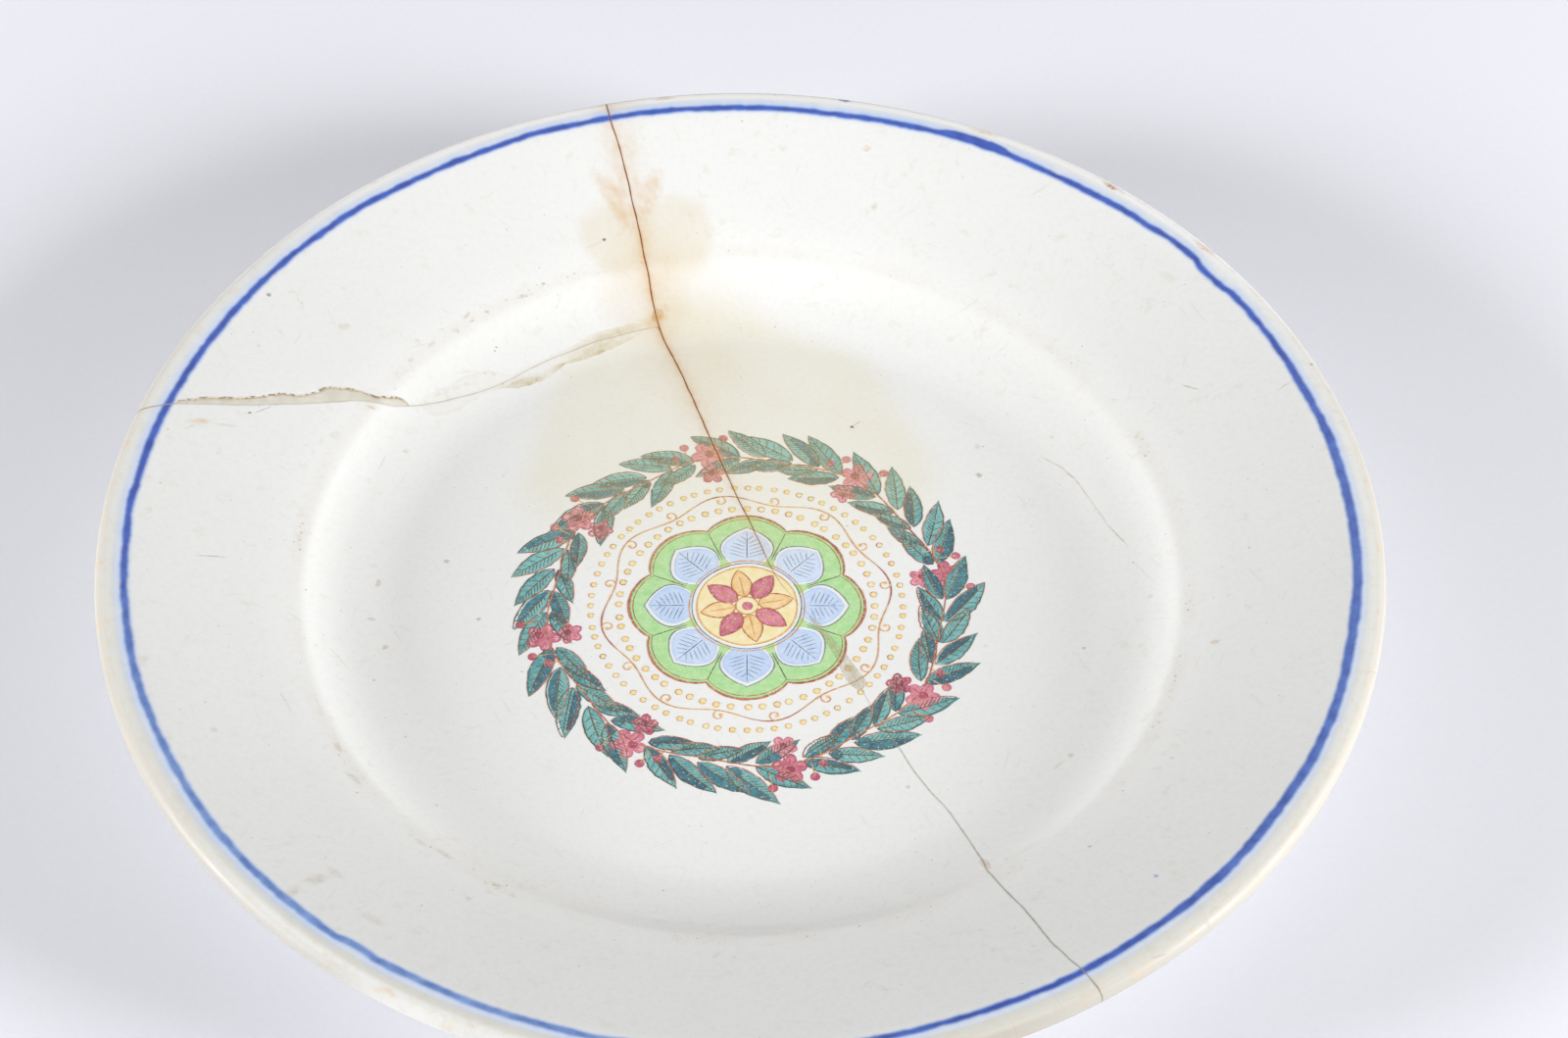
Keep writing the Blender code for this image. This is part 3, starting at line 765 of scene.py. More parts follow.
def lip_wear_and_painted_light(tree, base, solid, radius, turn):
    """The lip: dulled partly by use and partly as painted shade, spotted by use, rubbed matt along its
    crest, through to tan body here and there. The painted shade lies towards the near side, along the near
    crest and on the outer edge. The far side is whitened as painted light. Low on the near left a painted
    highlight is left where the greying is held back.

    Gives the colour, and how matt it is.
    """
    away = put(tree, "VectorMath", {0: turn, 1: (0.1, 0.995, 0)}, operation="DOT_PRODUCT")["Value"]
    start = eased(tree, radius, 117.9, 118.9)
    crest = eased(tree, radius, 120.2, 121.3)
    near = eased(tree, away, 0.2, 0.75, 1, 0)
    # Painted highlight: low on the near left the greying below is held back, so the lip stays lighter there
    painted_highlight = towards(tree, turn, 243, 0.86, 0.985)
    lifted = eased(tree, radius, 119.6, 120.8)
    # How much of the grey tint stays on the outer lip: less at the painted highlight
    kept = plus(tree, 1, lifted, ramp(tree, painted_highlight, 0, 1, -0.2, -0.95))
    # A grey tint, partly wear and partly painted shade: strongest on the near side, none on the far side
    dull = times(tree, ramp(tree, away, -0.9, 0.75, 0.82, 0), start, kept)
    spots = eased(tree, noise(tree, solid, 2.4, 4, 0.65), 0.46, 0.7, 0, 0.2)
    spots = times(tree, spots, start, ramp(tree, away, 0.4, 0.9, 1, 0.2))
    # The near crest greyed, partly by rubbing and partly as painted shade, held back at the painted
    # highlight
    rubbed = times(tree, near, 0.9, ramp(tree, painted_highlight, 0, 1, 1, 0.25), crest)
    # Painted shade: the outer edge of the lip darkened grey along the near side, a little more low on the
    # left, and not at the painted highlight
    edge_shade_strength = towards(tree, turn, 214, 0.88, 0.98, 0.4, 0.55)
    bright = towards(tree, turn, 256, 0.93, 0.985, 1, 0)
    painted_edge_shade = times(tree, eased(tree, radius, 120.9, 121.8), edge_shade_strength, bright, near)
    # Painted light: the lip whitened on the far side, from just outside the blue line outwards
    painted_far_light = times(tree, eased(tree, away, 0.45, 0.85, 0, 0.85), eased(tree, radius, 118.8, 120.2))
    worn = plus(tree, noise(tree, solid, 4.5, 5, 0.6), ramp(tree, radius, 119.4, 120.9, -0.3, 0))
    worn = eased(tree, worn, 0.52, 0.72, 0, 0.42)
    for share, shade in (
        (dull, "#C9C7BC"), (spots, "#C9B68E"), (rubbed, "#CFCBC0"), (painted_edge_shade, "#8F8B82"), (painted_far_light, "#F8F7F4"),
        (worn, "#D3AC84"),
    ):
        base = mix(tree, share, base, shade)
    return base, times(tree, near, crest)


def white_glaze():
    """Clear lead glaze over white earthenware: a soft gloss on a body gone slightly grey and cream."""
    material, tree = new_tree("lead_glazed_white_earthenware")
    flat = millimetres(tree)
    solid = millimetres(tree, height=1)
    radius = put(tree, "VectorMath", {0: flat}, operation="LENGTH")["Value"]
    turn = put(tree, "VectorMath", {0: flat}, operation="NORMALIZE")[0]
    base = mix(tree, noise(tree, flat, 35, 3), "#EAEAE8", "#E6E6E3")
    mottle = ramp(tree, noise(tree, flat, 1.1, 3), 0.45, 0.75, 0, 0.16)
    base = mix(tree, mottle, base, "#CFCBC0")
    base = mix(tree, eased(tree, radius, 86, 96, 0, 0.11), base, "#C4CCCB")
    base = specked(tree, base, flat, radius)
    # The lip's wear, with painted shade and painted light laid over it
    base, matt = lip_wear_and_painted_light(tree, base, solid, radius, turn)
    cuts = knife_cuts(tree, flat)
    base = mix(tree, times(tree, cuts, 0.22), base, "#9C9382")
    base = cobalt(tree, stained(tree, base, flat), flat, radius, turn)
    base = soiled(tree, marked(tree, base, flat), flat)
    # The foot's face is ground bare and has gone grey from standing on tables
    height = put(tree, "SeparateXYZ", {0: solid})[2]
    ground = ramp(tree, height, 0.12, 0.3, 0.85, 0)
    base = mix(tree, ground, base, "#B4A78F")
    rough = ramp(tree, noise(tree, flat, 14, 5), 0.3, 0.7, 0.1, 0.2)
    for share, dulling in ((cuts, 0.3), (matt, 0.35), (ground, 0.7)):
        rough = plus(tree, rough, share, dulling)
    surface(tree, base, rough, GLASS_IOR, Normal=bumps(tree, noise(tree, flat, 5, 2), 0.6, 0.02))
    return material


def broken_body():
    """Bare white earthenware where it broke: chalky, dull and drinking in dirt along the old joins."""
    material, tree = new_tree("bare_earthenware_body")
    grain = noise(tree, millimetres(tree, height=1), 0.5, 5)
    base = mix(tree, grain, "#D9CDB6", "#A89476")
    base = mix(tree, told(tree, "brown_dirt"), base, "#3B2616")
    surface(tree, base, 0.85, BODY_IOR, Normal=bumps(tree, grain, 1.0, 0.1))
    return material


glaze = white_glaze()
body = broken_body()
whole = turned_plate()
for name, outline in sherd_outlines().items():
    sherd = placed("glazed_" + name, whole.copy())
    cutters = [(add_block(name + "_block", outline), "INTERSECT")]
    if name == "back_left_sherd":
        cutters.append((along_chip("chipped_edge", flake), "DIFFERENCE"))
    sherd.data.materials.append(glaze)
    sherd.data.materials.append(body)
    applied(sherd, cutters)
    smooth(sherd, 40)
    write_stains(sherd.data)
    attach(sherd, "root")
    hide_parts(name)

# ---- The painted centre ------------------------------------------------------------------------
# A transfer print coloured by hand: rust, ochre and olive lines from an engraving, under thin washes of
# enamel that don't quite keep to them, fired on the glaze. Here a garland round a lobed medallion.

PAINT_CENTRE = np.array((1.0, -4.0))
GARLAND_RADIUS = 38.5
VINE_RADIUS = 27.4
GRID_SPACING = 1.5
WASH_TOP = 0.03
LINE_TOP = 0.05
PAINT_SUNK = 0.04
BLOSSOMS = 8
paint_draw = np.random.default_rng(41)
washes = []
lines = []


def heading(angle):
    """The unit vector in plan at an angle, or one for each of a row of angles."""
    return np.stack([np.cos(angle), np.sin(angle)], -1)


def circle(centre, radius, points=72):
    """A round outline in plan."""
    return centre + radius * heading(np.linspace(0, 2 * pi, points, endpoint=False))


def wash(paint, outline):
    """Lays a thin patch of enamel."""
    washes.append((outline, paint))


def stroke(paint, points, width):
    """Draws a pen line: fullest in the middle, thin at its ends, with a slight tremble."""
    points = np.asarray(points, float)
    swell = np.sin(pi * np.linspace(0.12, 0.88, len(points))) ** 0.6
    half = (width / 2 * swell * paint_draw.uniform(0.75, 1.25, len(points)))[:, None] * left_of(points)
    lines.append((np.vstack([points + half, (points - half)[::-1]]), paint))


def ring_stroke(paint, radius, width):
    """Draws a circle round the medallion, in three pulls of the pen."""
    for start in paint_draw.uniform(0, 1, 1) + np.arange(3) * 2 * pi / 3:
        turns = np.linspace(start, start + 2.2, 40)
        reach = radius + 0.07 * np.sin(5 * turns + start)
        stroke(paint, PAINT_CENTRE + reach[:, None] * heading(turns), width)


def leaf(base, turn, length, width, bend):
    """One lance-shaped leaf: its wash, a darker pull of the brush, its outline, rib and hatching."""
    t = np.linspace(0, 1, 15)
    way = heading(turn)
    side = heading(turn + pi / 2)
    spine = base + np.outer(t * length, way) + np.outer(bend * length * t**2, side)
    half = width / 2 * np.sin(pi * t**0.85) ** 0.8
    ragged = 1 + paint_draw.normal(0, 0.04, (2, len(t)))
    left = spine + (half * ragged[0])[:, None] * side
    right = spine - (half * ragged[1])[:, None] * side
    slipped = paint_draw.normal(0, 0.16, 2) + (0.12, -0.1)
    wash("teal", np.vstack([left[1:-1], spine[-1:] + way * 0.5, right[-2:0:-1], spine[:1]]) + slipped)
    shaded = left if paint_draw.random() < 0.5 else right
    if paint_draw.random() < 0.6:
        wash("dark_teal", np.vstack([spine[1:-2], (shaded * 0.92 + spine * 0.08)[-3:0:-1]]) + slipped)
    if paint_draw.random() < 0.3:
        wash("dark_teal", circle(spine[2] + slipped, width * 0.33, 14))
    stroke("rust", left, 0.24)
    stroke("olive", right, 0.26)
    stroke("olive", spine[:-1], 0.24)
    for i in range(2, 12):
        reach = half[i] * 0.75
        for edge in (1, -1):
            if edge == 1 or i % 2:
                hatch = spine[i] + np.outer((0.1, 0.55, 1.0), side * edge * reach + way * reach * 0.9)
                stroke("olive", hatch, 0.16)


def blossom(at, turn, size):
    """A five-lobed flower with a darker eye and veins."""
    turns = np.linspace(0, 2 * pi, 50, endpoint=False)
    reach = size * (0.55 + 0.45 * np.abs(np.cos(2.5 * (turns - turn))) ** 0.7)
    reach *= 1 + paint_draw.normal(0, 0.02, 50)
    wash("rose", at + reach[:, None] * heading(turns))
    eye = at + paint_draw.normal(0, 0.12 * size, 2)
    wash("dark_rose", circle(eye, size * 0.27, 14))
    for lobe in range(5):
        way = heading(turn + lobe * 2 * pi / 5)
        if paint_draw.random() < 0.6:
            wash("pale_rose", circle(at + way * size * 0.72, size * 0.14, 10))
        stroke("crimson", at + np.outer((0.3, 0.5, 0.75), way * size), 0.16)


def garland():
    """Leaves in pairs all round, parted by blossoms and berries on fine stems."""
    step = 2 * pi / BLOSSOMS
    for place in range(BLOSSOMS):
        start = place * step + 0.2
        turns = np.linspace(start, start + step, 16)
        reach = GARLAND_RADIUS + 0.8 * np.sin(2 * turns / step * pi)
        stem = PAINT_CENTRE + reach[:, None] * heading(turns)
        for share in (0.8, 0.62, 0.44, 0.26, 0.1):
            angle = start + share * step
            for side in (1, -1):
                base = PAINT_CENTRE + heading(angle) * (GARLAND_RADIUS + 0.4 * side)
                lean = side * radians(32 + paint_draw.normal(0, 5))
                length = (11.5 if side > 0 else 9.5) * paint_draw.uniform(0.86, 1.1)
                bend = side * paint_draw.uniform(0, 0.16)
                leaf(base, angle + pi / 2 - lean, length, 0.3 * length + 0.5, bend)
        stroke("rust", stem, 0.3)
        out = heading(start)
        blossom(PAINT_CENTRE + out * (GARLAND_RADIUS + 1.6), start + 0.4, 3.5)
        blossom(PAINT_CENTRE + out * (GARLAND_RADIUS - 3.6), start + 1.1, 2.6)
        for angle, away in ((0.1, 4.6), (0.16, 2.2), (-0.09, 5.6)):
            berry = PAINT_CENTRE + (GARLAND_RADIUS + away) * heading(start + angle)
            wash("rose", circle(berry, 0.95, 14))
            stroke("ochre", [berry, berry - out * 2.0, berry - out * 3.6], 0.2)


def scrolls():
    """A fine ochre vine between two rows of beads, round the flower in the middle."""
    for i in range(16):
        turns = np.linspace(i - 0.04, i + 1.04, 18) * pi / 8
        reach = VINE_RADIUS + 1.2 * np.sin(8 * turns)
        stroke("rust" if i % 4 == 0 else "ochre", PAINT_CENTRE + reach[:, None] * heading(turns), 0.28)
        angle = (i + 0.5) * pi / 8
        hand = -1 if i % 2 else 1
        turns = np.linspace(0.5 * pi, 2.2 * pi, 14)
        curl = 1.25 * (1.25 - turns / (2.4 * pi))
        points = PAINT_CENTRE + heading(angle) * VINE_RADIUS
        points = points + np.outer(curl * np.cos(turns), heading(angle + pi / 2))
        points = points + np.outer(hand * curl * np.sin(turns), heading(angle))
        stroke("ochre", points, 0.24)
        wash("amber", circle(points[-1], 0.42, 10))
    for radius, beads, size in ((24.9, 56, 0.66), (30.4, 72, 0.58)):
        for i in range(beads):
            at = PAINT_CENTRE + radius * heading((i + paint_draw.uniform(-0.12, 0.12)) * 2 * pi / beads)
            wash("straw", circle(at, size, 10))
            stroke("rust" if paint_draw.random() < 0.25 else "ochre", circle(at, size, 11), 0.15)


def petal(turn, start, end, width, fullest):
    """One petal that points outwards: its left side, its middle line and its right side."""
    t = np.linspace(0, 1, 13)
    middle = PAINT_CENTRE + np.outer(start + (end - start) * t, heading(turn))
    bulge = np.outer(width / 2 * np.sin(pi * t**fullest) ** 0.8, heading(turn + pi / 2))
    return middle + bulge, middle, middle - bulge


def medallion():
    """A large flower: a scalloped green rim, pale blue petals, and a straw heart with small ones."""
    turns = np.linspace(0, 2 * pi, 160, endpoint=False)
    lobes = 20.4 + 2.6 * np.abs(np.cos(4 * turns)) ** 0.8
    rim = lobes[:, None] * heading(turns)
    wash("green", PAINT_CENTRE + rim)
    for first in range(10, 170, 20):
        lobe = rim[np.arange(first, first + 21) % 160]
        stroke("rust", PAINT_CENTRE + lobe, 0.55)
        stroke("rust", PAINT_CENTRE + lobe * 0.965, 0.18)
        stroke("olive", PAINT_CENTRE + lobe[:1] * np.linspace(0.62, 0.97, 8)[:, None], 0.2)
    for i in range(8):
        turn = i * pi / 4
        slipped = paint_draw.normal(0, 0.12, 2)
        left, middle, right = petal(turn, 8.0, 20.0, 10.6, 1.15)
        wash(None, np.vstack([left, right[::-1]]))
        stroke("slate", left[4:], 0.22)
        stroke("slate", right[4:], 0.22)
        left, middle, right = petal(turn, 8.6, 19.2, 9.4, 1.15)
        wash("blue", np.vstack([left, right[::-1]]) + slipped)
        stroke("slate", middle[4:-2], 0.2)
        for share in range(4, 11):
            for side in (left, right):
                foot = middle[share]
                stroke("slate", foot + np.outer((0.12, 0.4, 0.72), side[min(share + 2, 12)] - foot), 0.13)
    for radius, paint in ((10.6, None), (9.9, "straw")):
        wash(paint, circle(PAINT_CENTRE + paint_draw.normal(0, 0.08, 2), radius, 90))
    for radius, paint, width in ((11.3, "ochre", 0.26), (10.7, "olive", 0.16), (9.8, "ochre", 0.3)):
        ring_stroke(paint, radius, width)
    for i in range(8):
        left, middle, right = petal(i * pi / 4 + 0.2, 2.2, 9.2, 4.0, 0.8)
        wash("rose" if i % 2 else "amber", np.vstack([left, right[::-1]]))
        stroke("rust", left, 0.26)
        stroke("rust", right, 0.26)
        stroke("ochre", middle[:-3], 0.2)
    wash("straw", circle(PAINT_CENTRE, 2.1, 24))
    wash("rose", circle(PAINT_CENTRE + (0.1, -0.1), 1.1, 16))
    stroke("rust", circle(PAINT_CENTRE, 2.2, 24), 0.26)


def gap_outline():
    """The gap of the main crack where it crosses the well, as an outline."""
    near = (main_line[:, 1] > -62) & (main_line[:, 1] < 62)
    back = (main_left * main_gap(main_line)[:, None] / 2)[near]
    return np.vstack([main_line[near] + back, (main_line[near] - back)[::-1]])


def painted_areas(shapes, spacing):
    """Shares the plane between overlapping shapes, later ones on top, and cuts it into triangles.

    Gives for each paint its points, triangles, distances to the shape's edge and the shapes' numbers.
    """
    points = []
    outlines = []
    for outline, paint in shapes:
        x, y = outline.T
        if np.sum(x * np.roll(y, -1) - y * np.roll(x, -1)) < 0:
            outline = outline[::-1]
        outlines.append(list(range(len(points), len(points) + len(outline))))
        points += [Vector(p) for p in outline]
    if spacing:
        low = np.min([s.min(0) for s, paint in shapes], 0)
        high = np.max([s.max(0) for s, paint in shapes], 0)
        for x in np.arange(low[0], high[0], spacing):
            points += [Vector((x, y)) for y in np.arange(low[1], high[1], spacing)]
    cut = delaunay_2d_cdt(points, [], outlines, 1, 0.002)
    places, faces, owners = np.array([tuple(p) for p in cut[0]]), cut[2], cut[5]
    areas = {}
    for face, owner in zip(faces, owners):
        if owner and shapes[max(owner)][1]:
            areas.setdefault(shapes[max(owner)][1], []).append((tuple(face), max(owner)))
    made = {}
    for paint, owned in areas.items():
        used = sorted({i for face, number in owned for i in face})
        renumbered = {i: n for n, i in enumerate(used)}
        triangles = [tuple(renumbered[i] for i in face) for face, number in owned]
        numbers = [number for face, number in owned]
        kept = places[used]
        reach = np.full(len(used), 9.0)
        for number in set(numbers):
            mine = sorted({i for face, n in zip(triangles, numbers) if n == number for i in face})
            outline = np.vstack([shapes[number][0], shapes[number][0][:1]])
            reach[mine] = np.minimum(reach[mine], nearest(outline, kept[mine])[0])
        made[paint] = (kept, triangles, reach, numbers)
    return made


def add_layer(name, places, triangles, top, bottom):
    """A thin closed layer over the glaze, with its top and bottom so far above it in millimetres."""
    count = len(places)
    height = surface_height(*places.T)
    border = set()
    for face in triangles:
        for a, b in zip(face, face[1:] + face[:1]):
            if (b, a) in border:
                border.remove((b, a))
            else:
                border.add((a, b))
    faces = list(triangles)
    faces += [tuple(i + count for i in face[::-1]) for face in triangles]
    faces += [(b, a, a + count, b + count) for a, b in sorted(border)]
    points = np.vstack([np.column_stack([places, height + up]) for up in (top, bottom)])
    mesh = bpy.data.meshes.new(name)
    mesh.from_pydata((points * MM).tolist(), [], faces)
    write_stains(mesh)
    return placed(name, mesh)


def enamel(name, thin, thick, wear):
    """Overglaze enamel: a glassy colour brushed on, darker where it pooled, rubbed through in places."""
    material, tree = new_tree(name)
    flat = millimetres(tree)
    pooled = eased(tree, told(tree, "edge_reach"), 0.0, 0.55, 0.45, 0)
    brushed = ramp(tree, noise(tree, flat, 1.6, 4, 0.6), 0.32, 0.68, -0.1, 0.7)
    load = plus(tree, plus(tree, pooled, brushed), told(tree, "tone"), clamp=True)
    rubbed = eased(tree, noise(tree, flat, 0.5, 3), 0.6 - wear, 0.7, 0, 0.55)
    base = mix(tree, rubbed, mix(tree, load, thin, thick), "#E4E2DC")
    surface(tree, soiled(tree, stained(tree, base, flat), flat), 0.22, GLASS_IOR)
    return material


# The palette: how each colour looks where it is thin and where it is thick, and how far it is rubbed off.
ENAMELS = {
    "teal": ("#79B7B4", "#38868F", 0), "dark_teal": ("#3A8593", "#1C566B", 0),
    "rose": ("#D98A97", "#AC4660", 0), "dark_rose": ("#B34A63", "#8E2F4C", 0),
    "pale_rose": ("#E9C3C6", "#D99AA4", 0.02), "green": ("#C0DDA6", "#97D083", 0.02),
    "blue": ("#CCDAEE", "#AFC8EA", 0.03), "straw": ("#F0E6C4", "#E9D691", 0.02),
    "amber": ("#F0D8A4", "#E3B774", 0.02), "rust": ("#CF9068", "#9C4A28", 0.05),
    "ochre": ("#E2B878", "#C98A42", 0.06), "olive": ("#7A6C45", "#4A4228", 0.03),
    "crimson": ("#B85468", "#8A2C46", 0.03), "slate": ("#8C98A6", "#5A6675", 0.05),
}

garland()
scrolls()
medallion()
gap = gap_outline()
for shapes, spacing, top in ((washes, GRID_SPACING, WASH_TOP), (lines, 0, LINE_TOP)):
    tones = np.random.default_rng(7).uniform(-0.3, 0.35, len(shapes) + 1)
    areas = painted_areas([*shapes, (gap, None)], spacing)
    for paint, (places, triangles, reach, numbers) in areas.items():
        layer = add_layer("painted_" + paint, places, triangles, top, -PAINT_SUNK)
        store(layer.data, "edge_reach", np.tile(reach, 2))
        per_face = np.zeros(len(layer.data.polygons))
        per_face[:len(numbers)] = tones[numbers]
        store(layer.data, "tone", per_face, "FACE")
        layer.data.materials.append(enamel(paint + "_overglaze_enamel", *ENAMELS[paint]))
        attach(layer, "root")

# ---- The old glue --------------------------------------------------------------------------------
# Bone glue, squeezed out of the joins when the sherds were pressed together, wiped and dried yellow: a skin
# over the side crack, a smear in the well and two drops. The flaked edge is filled with glue and plaster.

# The skin on the side crack: x, reach to its near and to its far side.
WALL_SKIN = [
    (-66.0, 1.6, 0.8), (-64.0, 2.7, 1.8), (-62.0, 2.9, 2.3), (-58.5, 2.6, 2.7), (-56.0, 1.5, 4.0),
    (-52.5, 0.6, 4.3), (-49.5, 1.2, 3.3), (-47.5, 2.6, 0.9), (-44.0, 3.9, 0.6), (-41.0, 3.6, 0.5),
    (-38.0, 2.5, 0.8), (-35.0, 2.9, 1.0), (-31.0, 3.3, 1.8), (-28.5, 2.8, 1.9), (-26.0, 2.3, 1.9),
    (-22.5, 1.4, 2.0), (-19.8, 0.4, 2.0),
]
# The smear on the main crack: y, reach towards -X and towards +X.
WELL_SMEAR = [
    (-6.2, 0.3, 0.35), (-10.0, 0.6, 0.7), (-14.0, 0.9, 1.0), (-18.0, 1.3, 1.3), (-21.0, 1.6, 1.5),
    (-24.0, 1.5, 1.6), (-25.4, 1.3, 1.4),
]
# Where the glue is thick and dark: centre, half length, half width, turn in degrees, softness, strength.
THICK_GLUE = [
    (-44.8, 54.7, 4.4, 1.3, 24, 0.6, 0.15), (-34.3, 61.0, 5.8, 0.9, 27, 0.5, 0.16),
    (-29.0, 67.8, 8.5, 1.8, 31, 0.8, 0.11), (-26.0, 69.0, 4.5, 1.1, 24, 0.8, 0.13),
    (-28.5, 65.0, 5.5, 0.9, 24, 0.7, 0.14), (-29.1, 63.8, 0.8, 0.5, 10, 0.5, 0.24),
    (-44.1, 54.6, 0.8, 0.5, 0, 0.6, 0.18), (-42.0, 56.1, 0.7, 0.5, 30, 0.6, 0.2),
    (-37.4, 59.9, 1.4, 0.4, 28, 0.6, 0.12), (-56.5, 52.8, 0.6, 0.25, 33, 0.6, 0.16),
    (-58.5, 51.4, 0.7, 0.25, 33, 0.6, 0.14), (-60.6, 50.0, 0.5, 0.25, 33, 0.6, 0.12),
    (-62.5, 48.8, 0.7, 0.25, 30, 0.6, 0.15), (-46.6, 54.8, 1.2, 0.5, 40, 0.6, 0.1),
    (-51.0, 56.1, 0.3, 0.3, 0, 0.6, 0.3),
]
GLUE_SUNK = 0.03
glue_draw = np.random.default_rng(77)


def grid(rows, columns, closed=False):
    """Quads over rows of points, joined end to end where they are closed."""
    return [
        (row * columns + a, row * columns + b, (row + 1) * columns + b, (row + 1) * columns + a)
        for row in range(rows - 1)
        for a, b in zip(range(columns if closed else columns - 1), [*range(1, columns), 0])
    ]


def add_skin(name, places, across, thickness, ends):
    """A closed skin of glue over rows of places, fuller near its rim and rounded off at its very edge."""
    rows, columns = across.shape
    share = np.abs(across)
    profile = np.interp(share, [0, 0.6, 0.88, 0.96, 1], [0.55, 0.6, 1.0, 0.6, 0.05])
    waves = np.arange(rows // 9 + 2)
    swell = 1 + 0.25 * np.interp(np.linspace(0, rows / 9, rows), waves, glue_draw.normal(0, 1, len(waves)))
    top = thickness * profile * (swell * ends)[:, None]
    quads = grid(rows, columns)
    (x0, y0), (x1, y1), (x2, y2) = places[0, 0], places[0, -1], places[1, 0]
    if (x1 - x0) * (y2 - y0) - (y1 - y0) * (x2 - x0) < 0:
        quads = [q[::-1] for q in quads]
    skin = add_layer(name, places.reshape(-1, 2), quads, np.maximum(top, 0.01).ravel(), -GLUE_SUNK)
    smooth(skin, 50)
    x, y = places.reshape(-1, 2).T
    thick = blotches(THICK_GLUE, x, y) * np.interp(across.ravel(), [0.3, 1], [1, 0.15])
    store(skin.data, "glue_thickness", np.tile(thick, 2))
    store(skin.data, "glue_rim", np.tile(np.interp(share.ravel(), [0.75, 0.9, 1], [0, 0.6, 0.2]), 2))
    return skin


def strip_of_glue(name, line, left, along, table, thickness):
    """The skin of glue that lies along a crack, after a table of its reach to both sides."""
    at, right_reach, left_reach = np.array(table).T
    kept = (along > at.min()) & (along < at.max())
    order = np.argsort(at)
    across = np.concatenate([-np.linspace(1, 0, 10) ** 0.6, np.linspace(0, 1, 10)[1:] ** 0.6])
    rows = kept.sum()
    reach = [np.interp(along[kept], at[order], side[order]) for side in (right_reach, left_reach)]
    ends = np.minimum(1, np.sqrt(np.minimum(np.arange(rows), np.arange(rows)[::-1]) / 3 + 0.02))
    for side in reach:
        side *= (1 + glue_draw.normal(0, 0.03, rows)) * ends
    offset = np.where(across < 0, across * reach[0][:, None], across * reach[1][:, None])
    places = line[kept][:, None] + left[kept][:, None] * offset[:, :, None]
    return add_skin(name, places, np.tile(across, (rows, 1)), thickness, ends)


def drop_of_glue(name, centre, long, wide, turn, thickness):
    """A low drop of glue on a crack, with an uneven outline."""
    sides = 36
    angles = np.linspace(0, 2 * pi, sides + 1)
    knots = glue_draw.normal(0, 0.09, 7)
    wobble = 1 + np.interp(angles, np.linspace(0, 2 * pi, 8), [*knots, knots[0]])
    share = np.linspace(1, 0.04, 9)
    x = np.outer(share, long * wobble * np.cos(angles))[:, :-1, None]
    y = np.outer(share, wide * wobble * np.sin(angles))[:, :-1, None]
    places = (np.array(centre) + x * heading(turn) + y * heading(turn + pi / 2)).reshape(-1, 2)
    count = len(places)
    top = np.repeat(thickness * (1.02 - share**2) ** 0.5, sides)
    quads = grid(len(share), sides, closed=True)
    quads.append(tuple(range(count - sides, count)))
    drop = add_layer(name, places, quads, top, -GLUE_SUNK)
    smooth(drop, 60)
    store(drop.data, "glue_thickness", np.full(2 * count, 0.11))
    store(drop.data, "glue_rim", np.full(2 * count, 0.5))
    return drop


def dried_glue(name, hue, dark_hue, veil, roughness):
    """Dried bone glue: a see-through yellow-olive gloss, deeper where it is thick, with dust in it."""
    material, tree = new_tree(name)
    flat = millimetres(tree)
    cloud = noise(tree, flat, 1.7, 4)
    density = plus(tree, veil, told(tree, "glue_rim"), 0.05)
    density = plus(tree, density, told(tree, "glue_thickness"))
    density = times(tree, density, ramp(tree, cloud, 0.3, 0.7, 0.6, 1.35))
    dust = put(tree, "TexVoronoi", {"Vector": flat, "Scale": 1 / 0.8}, voronoi_dimensions="2D")[0]
    dust = eased(tree, dust, 0.1, 0.22, 0.5, 0)
    density = plus(tree, density, dust, density, clamp=True)
    base = mix(tree, ramp(tree, density, 0.2, 0.8), hue, dark_hue)
    bump = bumps(tree, cloud, 0.5, 0.03)
    surface(tree, base, roughness, GLASS_IOR, Alpha=density, Normal=bump)
    return material


for name, line, left, along, table, thickness, node, look in (
    ("wall_skin", side_line, side_left, side_line[:, 0], WALL_SKIN, 0.13, "glue_wall_film",
     ("dried_bone_glue_skin", "#CDAE44", "#A48A38", 0.03, 0.12)),
    ("well_smear", main_line, main_left, main_line[:, 1], WELL_SMEAR, 0.12, "glue_well_smear",
     ("wiped_bone_glue_smear", "#C9BE9C", "#BEB088", 0.34, 0.35)),
):
    skin = strip_of_glue(name, line, left, along, table, thickness)
    skin.data.materials.append(dried_glue(*look))
    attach(skin, "root")
    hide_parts(node)

for name, centre, long, wide, turn, node, hues in (
    ("junction_drop", (-17.7, 73.2), 1.6, 1.1, radians(64), "glue_junction_dab", ("#E0B45E", "#C8964A")),
    ("verge_drop", (44.2, -67.6), 2.0, 0.75, radians(-72), "glue_verge_dab", ("#D2AE78", "#B88E5E")),
):
    drop = drop_of_glue(name, centre, long, wide, turn, 0.22)
    drop.data.materials.append(dried_glue(name + "_bone_glue", *hues, 0.06, 0.15))
    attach(drop, "root")
    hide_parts(node)


